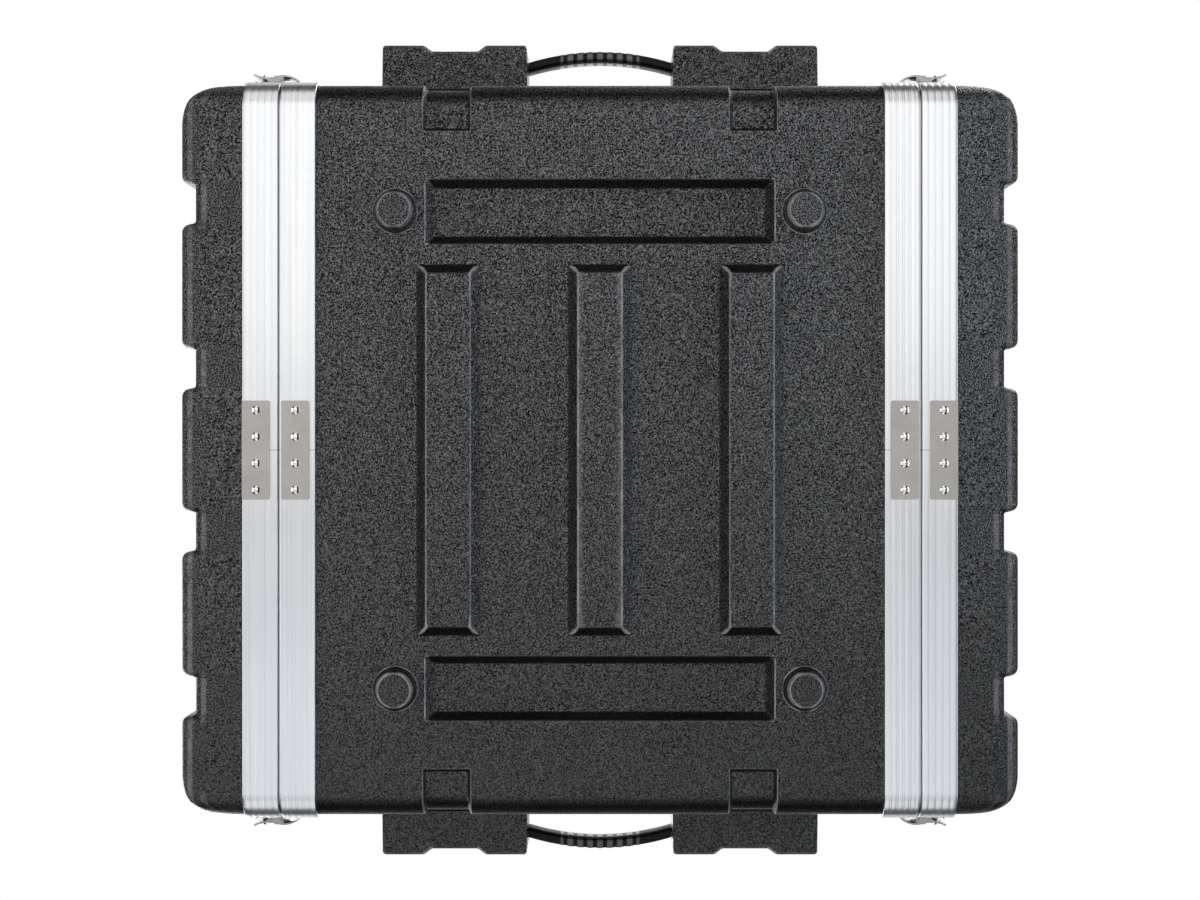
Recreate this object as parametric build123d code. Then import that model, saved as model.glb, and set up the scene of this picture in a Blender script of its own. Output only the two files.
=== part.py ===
from build123d import *
import math
import os

# Rack case, 19 inch, 4U, with a lift-off lid at each end. Millimetres.
# X is the width, Y the depth (the front lid is at -Y), Z is up.
# The origin is the centre of the footprint, on the plane the feet stand on.

# Moulded shells
SHELL_WIDTH = 532.0
SHELL_HEIGHT = 222.0
SHELL_RADIUS = 20.0
WALL = 4.0
SLOPE_SHARE = 0.45          # sideways growth of a sloping wall per millimetre of inset
HALF_SHELL_GAP = 0.2
CUT_MARGIN = 5.0            # how far a cutting shape runs past what it cuts

# Depth
SEAM_Y = 231.0
SEAM_GAP = 1.4
LID_END_Y = 304.0
LID_PLAN_RADIUS = 34.0
LID_EDGE_RADIUS = 12.0
EDGE_DRAW_IN = 0.9          # how much the lid's edge radius shrinks per millimetre of inset
LID_CORE_DEPTH = 40.0       # how far behind its floor a groove's cut runs

# Underside and top relief
FOOT_HEIGHT = 10.0
FOOT_BASE_RADIUS = 15.5
FOOT_TIP_RADIUS = 13.0
FOOT_DRAW_IN = 0.75         # how much a foot's radius shrinks per millimetre of inset
FOOT_X = 172.0
FOOT_Y = 147.5
STRIP_LENGTH = 267.0
STRIP_WIDTH = 46.0
STRIP_HEIGHT = 6.0
STRIP_SLOPE = 6.5
STRIP_PITCH = 109.0
PANEL_X = 171.8
PANEL_SIZE = (46.5, 250.5)
PANEL_DEPTH = 6.5
PANEL_SLOPE = 5.5
STACK_DEPTH = 3.0
STACK_RADIUS = 18.0
STACK_SLOPE = 2.0
EDGE_RECESS_WIDTH = 34.0
EDGE_RECESS_Y = 110.5
EDGE_RECESS_X = 230.0
EDGE_RECESS_DEPTH = 3.5
EDGE_RECESS_RISE = 26.0

# Lugs and their notches
LUG_Y = 112.0
LUG_HALF_LENGTH = 56.0
LUG_HALF_HEIGHT = 23.0
LUG_OUTER_X = 312.5
LUG_DRAFT = 2.0
LUG_CORNER = 4.0
NOTCH_HALF_FLAT = 17.75
NOTCH_SLOPE = 6.0
NOTCH_DEPTH = 4.6

# Lid grooves
GROOVE_X = (-178.0, -59.0, 59.0, 178.0)
GROOVE_WIDTH = 28.0
GROOVE_SLOPE = 1.6
GROOVE_DEPTH = 10.0

# Aluminium frames
BAND_WIDTH = 25.5
BAND_PROUD = 2.5
FIT = 0.1
WEB = 3.0
LEG = 2.0
LEG_DEPTH = 18.3
LID_LEG_DEPTH = 13.3
TONGUE_OUTER = -1.4
TONGUE_INNER = -3.9
TONGUE_LENGTH = 4.5
LID_WEB_SETBACK = 4.3
LID_LIP_OUTER = -4.6
SEAL_THICKNESS = 1.0
SEAL_GAP = 0.2
FLUTE_PITCH = 5.0
FLUTE_COUNT = 4
FLUTE_WIDTH = 1.0
FLUTE_DEPTH = 0.7
BUTT_GAP = 0.3

# Joint plates and rivets
PLATE_LENGTH = 71.0
PLATE_WIDTH = 20.0
PLATE_THICKNESS = 1.2
PLATE_CORNER = 1.5
BODY_PLATE_Y = 219.0
LID_PLATE_Y = 247.2
RIVET_PITCH = 19.1
RIVET_HEAD = (3.15, 1.4)
RIVET_SHANK = 1.6
RIVET_TAIL = 0.2
RIVETS_PER_PLATE = 4
SMALL_RIVET_HEAD = (1.9, 0.9)
HOLE_FIT = 0.05
HOLE_LENGTH = 12.0          # long enough to pass through frame, shell and leg

# Rack rails
RAIL_FACE_Y = 199.0
RAIL_DEPTH = 28.0
RAIL_THICKNESS = 2.5
RAIL_INNER_X = 225.6
RAIL_HALF_HEIGHT = 90.0
RACK_HOLE_X = 465.1 / 2
RACK_UNIT = 44.45
RACK_UNITS = 4
RACK_HOLE_STEPS = (6.35, 22.225, 38.1)
RACK_HOLE_RADIUS = 2.5
BOLT_Y = 183.0
BOLT_RISES = (-80.0, -30.0, 30.0, 80.0)
BOLT_HEAD = (5.5, 2.6)
BOLT_SHANK = 3.0
BOLT_LENGTH = 11.5
NUT_RADIUS = 5.8
NUT_HEIGHT = 4.5

# Strips that join the two half shells
JOIN_HALF_LENGTH = 48.0
JOIN_HALF_HEIGHT = 20.0
JOIN_THICKNESS = 2.0
JOIN_RIVET_Y = 36.0
JOIN_RIVET_RISE = 10.0
JOIN_RIVET_HEAD = (4.0, 1.6)
JOIN_RIVET_SHANK = 2.0

# Handles
HANDLE_PIVOT_X = 298.6
HANDLE_END_Y = 55.4
HANDLE_RISE = 8.2
HANDLE_OUTER_X = 302.8
HANDLE_THICKNESS = 9.2
HANDLE_HALF_HEIGHT = 10.0
CORE_THICKNESS = 2.5
CORE_HALF_HEIGHT = 7.0
BOSS_RADIUS = 3.4
BOSS_LENGTH = 6.0
HANDLE_PIN_RADIUS = 2.2
HANDLE_PIN_LAP = 5.0        # how far the pin reaches into the strap's end
HANDLE_PIN_HEAD = (4.4, 2.5)
BRACKET_SIZE = (15.0, 2.0, 36.0)
BRACKET_SCREW_RISE = 15.0
BRACKET_SCREW_HEAD = (2.6, 1.2)
BRACKET_SCREW_SHANK = 1.6

# Draw latches. S runs from the seam towards the lid, U stands out from the frame.
LATCH_RISE = 73.0
LATCH_PLATE = 1.2
BASE_SPAN = (1.2, 21.2)
BASE_HALF_WIDTH = 15.0
BASE_LIP = (1.2, 2.6)
BASE_LIP_HALF_WIDTH = 12.0
EAR_SPAN = (1.6, 8.4)
EAR_INNER = 11.0
EAR_THICKNESS = 1.2
EAR_TOP = 6.6
PIVOT = (5.0, 3.9)
PIVOT_PIN_RADIUS = 1.5
PIVOT_PIN_HEAD = (2.1, 0.9)
PIVOT_ROLL_RADIUS = 2.4
CLAW_PIVOT = (10.5, 3.6)
CLAW_PIN_RADIUS = 1.0
CLAW_EYE_RADIUS = 2.0
LEVER_HALF_WIDTH = 10.5
LEVER_WINDOW = (7.9, 14.3)
LEVER_THICKNESS = 1.2
LEVER_ROOT_U = 5.1
LEVER_END = (20.3, 6.3)
LEVER_TIP = (23.6, 7.7)
LEVER_SLOT = (15.7, 20.0, 5.9)
ARM_HALF = 2.2              # half depth of the lever's arm at the pivot
ARM_LOWER = 1.9             # its depth below the claw's trunnion
ARM_TAPER = 0.75            # its half depth where it meets the lever's plate
ARM_LAP = 0.6
CLAW_HALF_WIDTH = 7.5
CLAW_THICKNESS = 1.3
CLAW_CROWN = (1.0, 8.1)
CLAW_ROOT = (1.2, 1.6)
TRUNNION_SETBACK = 0.2
CLAW_TIP_S = -9.6
CLAW_TIP_U = 3.4
KEEPER_SPAN = (-12.5, -1.2)
KEEPER_HALF_WIDTH = 14.0
KEEPER_LIP_S = (-7.9, -6.7)
KEEPER_LIP_U = 3.0
KEEPER_LIP_HALF_WIDTH = 8.5
BASE_RIVET = (15.6, 13.0)
KEEPER_RIVET = (-10.0, 11.2)
STAPLE_S = 17.4
STAPLE_WIRE = 1.1
STAPLE_RADIUS = 4.0
STAPLE_SPRING_U = 4.4

MID_Z = FOOT_HEIGHT + SHELL_HEIGHT / 2
TOP_Z = FOOT_HEIGHT + SHELL_HEIGHT
SIDE_X = SHELL_WIDTH / 2
BAND_X = SIDE_X + BAND_PROUD
BODY_FACE_Y = SEAM_Y - SEAM_GAP / 2
LID_FACE_Y = SEAM_Y + SEAM_GAP / 2
BODY_END_Y = BODY_FACE_Y - WEB - FIT
LID_START_Y = LID_FACE_Y + LID_WEB_SETBACK + WEB + FIT
LUG_INNER_END_Y = LUG_Y - LUG_HALF_LENGTH
FRAME_STACK = BAND_PROUD + WALL + FIT + LEG
PLATE_Z = FOOT_HEIGHT - BAND_PROUD - PLATE_THICKNESS
LATCH_Z = MID_Z - LATCH_RISE


# ---------------------------------------------------------------- helpers
def block(x, y, z):
    """Box between a low and a high limit on each axis."""
    centre = Pos((x[0] + x[1]) / 2, (y[0] + y[1]) / 2, (z[0] + z[1]) / 2)
    return centre * Box(x[1] - x[0], y[1] - y[0], z[1] - z[0])


def rod(at, axis, radius, length):
    """Cylinder that starts at a point and runs along an axis."""
    return extrude(Plane(origin=at, z_dir=axis) * Circle(radius), length)


def riveted(at, axis, head, shank_radius, shank_length):
    """Domed head standing on the surface at a point, with its shank running back."""
    radius, height = head
    sphere = (radius**2 + height**2) / (2 * height)
    half_angle = math.asin(radius / sphere) / 2
    crown = (sphere * math.sin(half_angle), height - sphere * (1 - math.cos(half_angle)))
    outline = Polyline(
        (0, height), (0, -shank_length), (shank_radius, -shank_length), (shank_radius, 0), (radius, 0)
    ) + ThreePointArc((radius, 0), crown, (0, height))
    turned = revolve(Plane.XZ * make_face(outline), Axis.Z)
    return Plane(origin=at, z_dir=axis) * turned


def frustum(centre, low_z, low_size, high_z, high_size):
    """Block with sloping sides between two level rectangles."""
    x, y = centre
    low = Pos(x, y, low_z) * Rectangle(*low_size)
    high = Pos(x, y, high_z) * Rectangle(*high_size)
    return loft([low.face(), high.face()])


def round_frustum(centre, low_z, low_radius, high_z, high_radius):
    """Cone frustum between two level circles."""
    height = high_z - low_z
    middle = Pos(centre[0], centre[1], (low_z + high_z) / 2)
    return middle * Cone(low_radius, high_radius, height)


def section(offset, y0, y1):
    """Filled case section, grown by an offset, between two depths."""
    plane = Plane(origin=(0, y0, MID_Z), x_dir=(1, 0, 0), z_dir=(0, 1, 0))
    outline = RectangleRounded(
        SHELL_WIDTH + 2 * offset, SHELL_HEIGHT + 2 * offset, SHELL_RADIUS + offset
    )
    return extrude(plane * outline, y1 - y0)


def ring(outer, inner, y0, y1):
    """Closed band round the case section between two offsets."""
    return section(outer, y0, y1) - section(inner, y0 - 1, y1 + 1)


def flip_x(shape):
    return mirror(shape, about=Plane.YZ)


def flip_y(shape):
    return mirror(shape, about=Plane.XZ)


def four_ways(shape):
    """A piece and its mirror images across the width and the depth."""
    pair = [shape, flip_x(shape)]
    return pair + [flip_y(piece) for piece in pair]


def save(name, *shapes):
    solids = [solid for shape in shapes for solid in shape.solids()]
    export_step(solids[0] if len(solids) == 1 else Compound(solids), f"parts/{name}.step")


# ---------------------------------------------------------------- body shell
def strips(inset):
    """Three raised strips across the underside."""
    shrink = 2 * inset * SLOPE_SHARE
    low_z = FOOT_HEIGHT - STRIP_HEIGHT + inset
    high_z = FOOT_HEIGHT + inset + 1
    base = (STRIP_LENGTH - shrink, STRIP_WIDTH - shrink)
    crown = (base[0] - 2 * STRIP_SLOPE, base[1] - 2 * STRIP_SLOPE)
    return [frustum((0, step * STRIP_PITCH), low_z, crown, high_z, base) for step in (-1, 0, 1)]


def feet(inset):
    """Four round feet moulded into the underside."""
    shrink = inset * FOOT_DRAW_IN
    foot = round_frustum(
        (FOOT_X, FOOT_Y), inset, FOOT_TIP_RADIUS - shrink,
        FOOT_HEIGHT + inset + 1, FOOT_BASE_RADIUS - shrink,
    )
    return four_ways(foot)


def lug(inset):
    """Notched lug that stands out from the side wall and guards one end of the handle."""
    near = LUG_Y - LUG_HALF_LENGTH + inset
    far = LUG_Y + LUG_HALF_LENGTH - inset
    outer = LUG_OUTER_X - inset
    notch = NOTCH_HALF_FLAT + inset * SLOPE_SHARE
    root = SIDE_X - WALL - (1 + inset)
    outline = Polyline(
        (root, near), (outer, near),
        (outer, LUG_Y - notch - NOTCH_SLOPE), (outer - NOTCH_DEPTH, LUG_Y - notch),
        (outer - NOTCH_DEPTH, LUG_Y + notch), (outer, LUG_Y + notch + NOTCH_SLOPE),
        (outer, far), (root, far + LUG_DRAFT), close=True,
    )
    face = make_face(outline)
    tips = [corner for corner in face.vertices() if abs(corner.X - outer) < 0.01
            and (abs(corner.Y - near) < 0.01 or abs(corner.Y - far) < 0.01)]
    rounded = fillet(tips, LUG_CORNER - inset * SLOPE_SHARE)
    half_height = LUG_HALF_HEIGHT - inset
    return Pos(0, 0, MID_Z - half_height) * extrude(rounded, 2 * half_height)


def sunk_panels(inset):
    """Two long sunk panels on the underside."""
    grow = 2 * inset * SLOPE_SHARE
    base = (PANEL_SIZE[0] + grow, PANEL_SIZE[1] + grow)
    floor = (base[0] - 2 * PANEL_SLOPE, base[1] - 2 * PANEL_SLOPE)
    low_z = FOOT_HEIGHT + inset - 1
    high_z = FOOT_HEIGHT + PANEL_DEPTH + inset
    return [frustum((side * PANEL_X, 0), low_z, base, high_z, floor) for side in (-1, 1)]


def top_relief(inset):
    """Shallow channels on top, with round recesses that take the feet of a case above."""
    grow = 2 * inset * SLOPE_SHARE
    base = (STRIP_LENGTH + grow, STRIP_WIDTH + grow)
    floor = (base[0] - 2 * STACK_DEPTH, base[1] - 2 * STACK_DEPTH)
    low_z = TOP_Z - STACK_DEPTH - inset
    high_z = TOP_Z - inset + 1
    channels = [
        frustum((0, step * STRIP_PITCH), low_z, floor, high_z, base) for step in (-1, 0, 1)
    ]
    seat = round_frustum(
        (FOOT_X, FOOT_Y), low_z, STACK_RADIUS - STACK_SLOPE + grow / 2,
        high_z, STACK_RADIUS + grow / 2,
    )
    return channels + four_ways(seat)


def edge_recesses(inset):
    """Square recesses that wrap round the lower edges, under the lug notches."""
    grow = inset * SLOPE_SHARE
    y0 = EDGE_RECESS_Y - EDGE_RECESS_WIDTH / 2 - grow
    y1 = EDGE_RECESS_Y + EDGE_RECESS_WIDTH / 2 + grow
    skin = ring(CUT_MARGIN - inset, -EDGE_RECESS_DEPTH - inset, y0, y1)
    reach = block(
        (EDGE_RECESS_X - grow, LUG_OUTER_X), (y0, y1),
        (-CUT_MARGIN, FOOT_HEIGHT + EDGE_RECESS_RISE + grow),
    )
    return four_ways(skin & reach)


def body_form(inset):
    """Solid form of the body, drawn in from its outer face by an inset."""
    form = section(-inset, -BODY_END_Y - inset, BODY_END_Y + inset)
    form += strips(inset) + feet(inset) + four_ways(lug(inset))
    form -= sunk_panels(inset) + top_relief(inset) + edge_recesses(inset)
    return form


# ---------------------------------------------------------------- lid shell
def lid_block(inset, end_y):
    """Rounded lid form that ends at a depth; three rounded prisms meet in it."""
    start_y = LID_START_Y - inset
    end_y -= inset
    prism = section(-inset, start_y, end_y)
    plan = RectangleRounded(SHELL_WIDTH - 2 * inset, 2 * end_y, LID_PLAN_RADIUS - inset)
    prism &= extrude(plan, TOP_Z + 1)
    plane = Plane(origin=(-SIDE_X, 0, MID_Z), x_dir=(0, 1, 0), z_dir=(1, 0, 0))
    side = RectangleRounded(2 * end_y, SHELL_HEIGHT - 2 * inset, LID_EDGE_RADIUS - inset * EDGE_DRAW_IN)
    return prism & extrude(plane * side, SHELL_WIDTH)


def lid_groove(x, inset):
    """Sloping-sided groove that runs up the lid's face."""
    half = GROOVE_WIDTH / 2 + inset * SLOPE_SHARE
    floor_y = LID_END_Y - GROOVE_DEPTH - inset
    mouth_y = LID_END_Y + 1
    mouth = half + GROOVE_SLOPE
    outline = Polyline(
        (x - half, floor_y - LID_CORE_DEPTH), (x + half, floor_y - LID_CORE_DEPTH),
        (x + half, floor_y),
        (x + mouth, mouth_y), (x - mouth, mouth_y), (x - half, floor_y), close=True,
    )
    return extrude(make_face(outline), TOP_Z + 1)


def lid_form(inset):
    """Solid form of a lid, drawn in from its outer face by an inset."""
    form = lid_block(inset, LID_END_Y)
    form -= [lid_groove(x, inset) for x in GROOVE_X]
    return form + lid_block(inset, LID_END_Y - GROOVE_DEPTH)


# ---------------------------------------------------------------- frames
def flutes(start_y, depth):
    """Fine grooves that run round the outside of a frame's band."""
    cuts = []
    for step in range(FLUTE_COUNT):
        y = start_y + (step + 1) * FLUTE_PITCH
        cuts.append(ring(depth + 1, depth - FLUTE_DEPTH, y - FLUTE_WIDTH / 2, y + FLUTE_WIDTH / 2))
    return cuts


def butt_joint():
    """The saw cut where the two ends of a frame meet at the bottom centre."""
    return block((-BUTT_GAP / 2, BUTT_GAP / 2), (0, LID_END_Y), (0, MID_Z))


def body_frame():
    frame = ring(BAND_PROUD, FIT, BODY_FACE_Y - BAND_WIDTH, BODY_FACE_Y)
    frame += ring(BAND_PROUD, -WALL - FIT - LEG, BODY_FACE_Y - WEB, BODY_FACE_Y)
    frame += ring(-WALL - FIT, -WALL - FIT - LEG, BODY_FACE_Y - LEG_DEPTH, BODY_FACE_Y)
    frame += ring(TONGUE_OUTER, TONGUE_INNER, BODY_FACE_Y - 1, BODY_FACE_Y + TONGUE_LENGTH)
    frame -= flutes(BODY_FACE_Y - BAND_WIDTH, BAND_PROUD)
    return frame - butt_joint() - plate_rivet_holes(BODY_PLATE_Y) - latch_rivet_holes(KEEPER_RIVET)


def lid_frame():
    web_y = LID_FACE_Y + LID_WEB_SETBACK
    inner = -WALL - FIT - LEG
    frame = ring(BAND_PROUD, FIT, LID_FACE_Y, LID_FACE_Y + BAND_WIDTH)
    frame += ring(BAND_PROUD, inner, web_y, web_y + WEB)
    frame += ring(LID_LIP_OUTER, inner, LID_FACE_Y, web_y + WEB)
    frame += ring(-WALL - FIT, inner, web_y, web_y + WEB + LID_LEG_DEPTH)
    frame -= flutes(LID_FACE_Y, BAND_PROUD)
    return frame - butt_joint() - plate_rivet_holes(LID_PLATE_Y) - latch_rivet_holes(BASE_RIVET)


def lid_seal():
    """Foam seal in the bottom of the lid frame's groove."""
    back_y = LID_FACE_Y + LID_WEB_SETBACK
    return ring(-SEAL_GAP, LID_LIP_OUTER + SEAL_GAP, back_y - SEAL_THICKNESS, back_y)


# ---------------------------------------------------------------- joint plates
def plate_rivet_places(y):
    middle = (RIVETS_PER_PLATE - 1) / 2
    return [((step - middle) * RIVET_PITCH, y, PLATE_Z) for step in range(RIVETS_PER_PLATE)]


def plate_rivet_holes(y):
    """Clearance for the joint plate's rivets through the frame and the shell."""
    return [rod(at, (0, 0, 1), RIVET_SHANK + HOLE_FIT, HOLE_LENGTH) for at in plate_rivet_places(y)]


def joint_plate(y):
    outline = RectangleRounded(PLATE_LENGTH, PLATE_WIDTH, PLATE_CORNER)
    plate = Pos(0, y, PLATE_Z) * extrude(outline, PLATE_THICKNESS)
    return plate - plate_rivet_holes(y)


def plate_rivets(y):
    return [
        riveted(at, (0, 0, -1), RIVET_HEAD, RIVET_SHANK, PLATE_THICKNESS + FRAME_STACK + RIVET_TAIL)
        for at in plate_rivet_places(y)
    ]


# ---------------------------------------------------------------- latches
# One latch is drawn at the right side of the rear seam, low down; the rest are mirrored.


def latch_plane(width):
    """Plane across the latch, with S and U as its axes, at a distance from its middle."""
    return Plane(origin=(BAND_X, SEAM_Y, LATCH_Z + width), x_dir=(0, 1, 0), z_dir=(0, 0, -1))


def across(face, low, high):
    """Extrude an S-U outline between two distances from the latch's middle."""
    return extrude(latch_plane(high) * face, high - low)


def both_sides(face, low, high):
    return across(face, low, high) + across(face, -high, -low)


def disc(centre, radius):
    return Pos(*centre) * Circle(radius)


def bar(s, u):
    """Upright rectangle between two S and two U limits."""
    return Pos((s[0] + s[1]) / 2, (u[0] + u[1]) / 2) * Rectangle(s[1] - s[0], u[1] - u[0])


def latch_rivet_points(place):
    """The two rivet points of a base or keeper, on each side of the latch."""
    s, width = place
    return [(BAND_X, SEAM_Y + s, LATCH_Z + side * width) for side in (-1, 1)]


def latch_rivet_holes(place):
    """Clearance for every latch rivet on one seam, both sides, top and bottom."""
    holes = []
    for x, y, z in latch_rivet_points(place):
        for height in (z, 2 * MID_Z - z):
            hole = rod((x + CUT_MARGIN, y, height), (-1, 0, 0), RIVET_SHANK + HOLE_FIT,
                       HOLE_LENGTH + CUT_MARGIN)
            holes += [hole, flip_x(hole)]
    return holes


def latch_base():
    """Lid-side plate with two ears for the lever's pin and a turned-up end."""
    plate = across(bar(BASE_SPAN, (0, LATCH_PLATE)), -BASE_HALF_WIDTH, BASE_HALF_WIDTH)
    lip_s = (BASE_SPAN[1], BASE_SPAN[1] + BASE_LIP[0])
    plate += across(bar(lip_s, (0, BASE_LIP[1])), -BASE_LIP_HALF_WIDTH, BASE_LIP_HALF_WIDTH)
    ear = bar(EAR_SPAN, (LATCH_PLATE / 2, EAR_TOP)) - disc(PIVOT, PIVOT_PIN_RADIUS + HOLE_FIT)
    plate += both_sides(ear, EAR_INNER, EAR_INNER + EAR_THICKNESS)
    holes = [
        rod((x + CUT_MARGIN, y, z), (-1, 0, 0), RIVET_SHANK + HOLE_FIT, 2 * CUT_MARGIN)
        for x, y, z in latch_rivet_points(BASE_RIVET)
    ]
    return plate - holes


def latch_staple():
    """Wire loop that stands up through the lever for a padlock."""
    s = SEAM_Y + STAPLE_S
    foot_x = BAND_X + LATCH_PLATE
    spring_x = BAND_X + STAPLE_SPRING_U
    low_z, high_z = LATCH_Z - STAPLE_RADIUS, LATCH_Z + STAPLE_RADIUS
    path = Line((foot_x, s, low_z), (spring_x, s, low_z))
    path += ThreePointArc(
        (spring_x, s, low_z), (spring_x + STAPLE_RADIUS, s, LATCH_Z), (spring_x, s, high_z)
    )
    path += Line((spring_x, s, high_z), (foot_x, s, high_z))
    wire = Plane(origin=(foot_x, s, low_z), z_dir=(1, 0, 0)) * Circle(STAPLE_WIRE)
    return sweep(wire, path=path)


def latch_pin():
    """Lever pin with a small head at each end."""
    radius, height = PIVOT_PIN_HEAD
    reach = EAR_INNER + EAR_THICKNESS + FIT
    pin = across(disc(PIVOT, PIVOT_PIN_RADIUS), -reach, reach)
    return pin + both_sides(disc(PIVOT, radius), reach, reach + height)


def latch_lever():
    """Lever with two arms round the claw, a slot for the staple and a curled tip."""
    shoulder = LEVER_WINDOW[1]
    arm = disc(PIVOT, PIVOT_ROLL_RADIUS) + disc(CLAW_PIVOT, CLAW_EYE_RADIUS)
    arm += make_face(Polyline(
        (PIVOT[0], PIVOT[1] - ARM_HALF), (CLAW_PIVOT[0], CLAW_PIVOT[1] - ARM_LOWER),
        (shoulder + ARM_LAP, LEVER_ROOT_U - ARM_TAPER), (shoulder + ARM_LAP, LEVER_ROOT_U + ARM_TAPER),
        (PIVOT[0], PIVOT[1] + ARM_HALF), close=True,
    ))
    arm -= disc(PIVOT, PIVOT_PIN_RADIUS + HOLE_FIT) + disc(CLAW_PIVOT, CLAW_PIN_RADIUS + HOLE_FIT)
    plate = trace(
        Polyline((shoulder, LEVER_ROOT_U), LEVER_END, LEVER_TIP), line_width=LEVER_THICKNESS
    )
    lever = across(plate, -LEVER_HALF_WIDTH, LEVER_HALF_WIDTH)
    lever += both_sides(arm, LEVER_WINDOW[0], LEVER_HALF_WIDTH)
    slot = bar(LEVER_SLOT[:2], (0, LEVER_TIP[1] + CUT_MARGIN))
    return lever - across(slot, -LEVER_SLOT[2], LEVER_SLOT[2])


def latch_claw():
    """Arched claw that reaches over the seam from its own trunnions in the lever."""
    root_s, root_u = CLAW_PIVOT
    outer = ThreePointArc((root_s + CLAW_ROOT[0], root_u + CLAW_ROOT[1]), CLAW_CROWN,
                          (CLAW_TIP_S, CLAW_TIP_U))
    inner = ThreePointArc(
        (CLAW_TIP_S + CLAW_THICKNESS, CLAW_TIP_U),
        (CLAW_CROWN[0], CLAW_CROWN[1] - CLAW_THICKNESS),
        (root_s - CLAW_ROOT[0] / 2, root_u + CLAW_ROOT[0]),
    )
    strap = make_face(outer + Line(outer @ 1, inner @ 0) + inner + Line(inner @ 1, outer @ 0))
    claw = across(strap + disc(CLAW_PIVOT, CLAW_EYE_RADIUS), -CLAW_HALF_WIDTH, CLAW_HALF_WIDTH)
    reach = LEVER_HALF_WIDTH - TRUNNION_SETBACK
    return claw + across(disc(CLAW_PIVOT, CLAW_PIN_RADIUS), -reach, reach)


def latch_keeper():
    """Body-side plate with the lip that the claw reaches over."""
    plate = across(bar(KEEPER_SPAN, (0, LATCH_PLATE)), -KEEPER_HALF_WIDTH, KEEPER_HALF_WIDTH)
    lip = bar(KEEPER_LIP_S, (LATCH_PLATE / 2, KEEPER_LIP_U))
    plate += across(lip, -KEEPER_LIP_HALF_WIDTH, KEEPER_LIP_HALF_WIDTH)
    holes = [
        rod((x + CUT_MARGIN, y, z), (-1, 0, 0), RIVET_SHANK + HOLE_FIT, 2 * CUT_MARGIN)
        for x, y, z in latch_rivet_points(KEEPER_RIVET)
    ]
    return plate - holes


def latch_rivets(place):
    reach = LATCH_PLATE + FRAME_STACK + RIVET_TAIL
    return [
        riveted((x + LATCH_PLATE, y, z), (1, 0, 0), SMALL_RIVET_HEAD, RIVET_SHANK, reach)
        for x, y, z in latch_rivet_points(place)
    ]


def upper(shape):
    """The same latch piece near the top of the case."""
    return mirror(shape, about=Plane(origin=(0, 0, MID_Z), z_dir=(0, 0, 1)))


def latch_places(shape):
    """A rear latch piece at its four places, by name."""
    return {
        "right_lower": shape,
        "left_lower": flip_x(shape),
        "right_upper": upper(shape),
        "left_upper": upper(flip_x(shape)),
    }


# ---------------------------------------------------------------- rack rails and bolts
def rack_hole_heights():
    bottom = MID_Z - RACK_UNITS * RACK_UNIT / 2
    return [bottom + unit * RACK_UNIT + step
            for unit in range(RACK_UNITS) for step in RACK_HOLE_STEPS]


def bolt_places():
    return [(SIDE_X, BOLT_Y, MID_Z + rise) for rise in BOLT_RISES]


def bolt_holes():
    return [rod((x + CUT_MARGIN, y, z), (-1, 0, 0), BOLT_SHANK + FIT, HOLE_LENGTH + CUT_MARGIN)
            for x, y, z in bolt_places()]


def rack_rail():
    """Angle rail with the standard row of tapped holes in its outward face."""
    outer_x = SIDE_X - WALL - FIT
    height = (MID_Z - RAIL_HALF_HEIGHT, MID_Z + RAIL_HALF_HEIGHT)
    depth = (RAIL_FACE_Y - RAIL_DEPTH, RAIL_FACE_Y)
    rail = block((outer_x - RAIL_THICKNESS, outer_x), depth, height)
    rail += block((RAIL_INNER_X, outer_x), (RAIL_FACE_Y - RAIL_THICKNESS, RAIL_FACE_Y), height)
    rack_holes = [
        rod((RACK_HOLE_X, RAIL_FACE_Y + 1, z), (0, -1, 0), RACK_HOLE_RADIUS, RAIL_THICKNESS + 2)
        for z in rack_hole_heights()
    ]
    return rail - rack_holes - bolt_holes()


def rail_bolts():
    return [riveted(at, (1, 0, 0), BOLT_HEAD, BOLT_SHANK, BOLT_LENGTH) for at in bolt_places()]


def rail_nuts():
    seat_x = SIDE_X - WALL - FIT - RAIL_THICKNESS
    nuts = []
    for _, y, z in bolt_places():
        seat = Plane(origin=(seat_x, y, z), z_dir=(-1, 0, 0))
        outline = RegularPolygon(NUT_RADIUS, 6) - Circle(BOLT_SHANK + HOLE_FIT)
        nuts.append(extrude(seat * outline, NUT_HEIGHT))
    return nuts


# ---------------------------------------------------------------- half-shell joint
def join_places():
    return [(SIDE_X, y, MID_Z + rise)
            for y in (-JOIN_RIVET_Y, JOIN_RIVET_Y) for rise in (-JOIN_RIVET_RISE, JOIN_RIVET_RISE)]


def join_holes():
    return [
        rod((x + CUT_MARGIN, y, z), (-1, 0, 0), JOIN_RIVET_SHANK + HOLE_FIT, HOLE_LENGTH)
        for x, y, z in join_places()
    ]


def join_strip():
    """Strip inside the side wall that ties the two half shells together."""
    outer_x = SIDE_X - WALL - FIT
    strip = block(
        (outer_x - JOIN_THICKNESS, outer_x), (-JOIN_HALF_LENGTH, JOIN_HALF_LENGTH),
        (MID_Z - JOIN_HALF_HEIGHT, MID_Z + JOIN_HALF_HEIGHT),
    )
    return strip - join_holes()


def join_rivets():
    reach = WALL + FIT + JOIN_THICKNESS + RIVET_TAIL
    return [
        riveted(at, (1, 0, 0), JOIN_RIVET_HEAD, JOIN_RIVET_SHANK, reach) for at in join_places()
    ]


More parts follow.
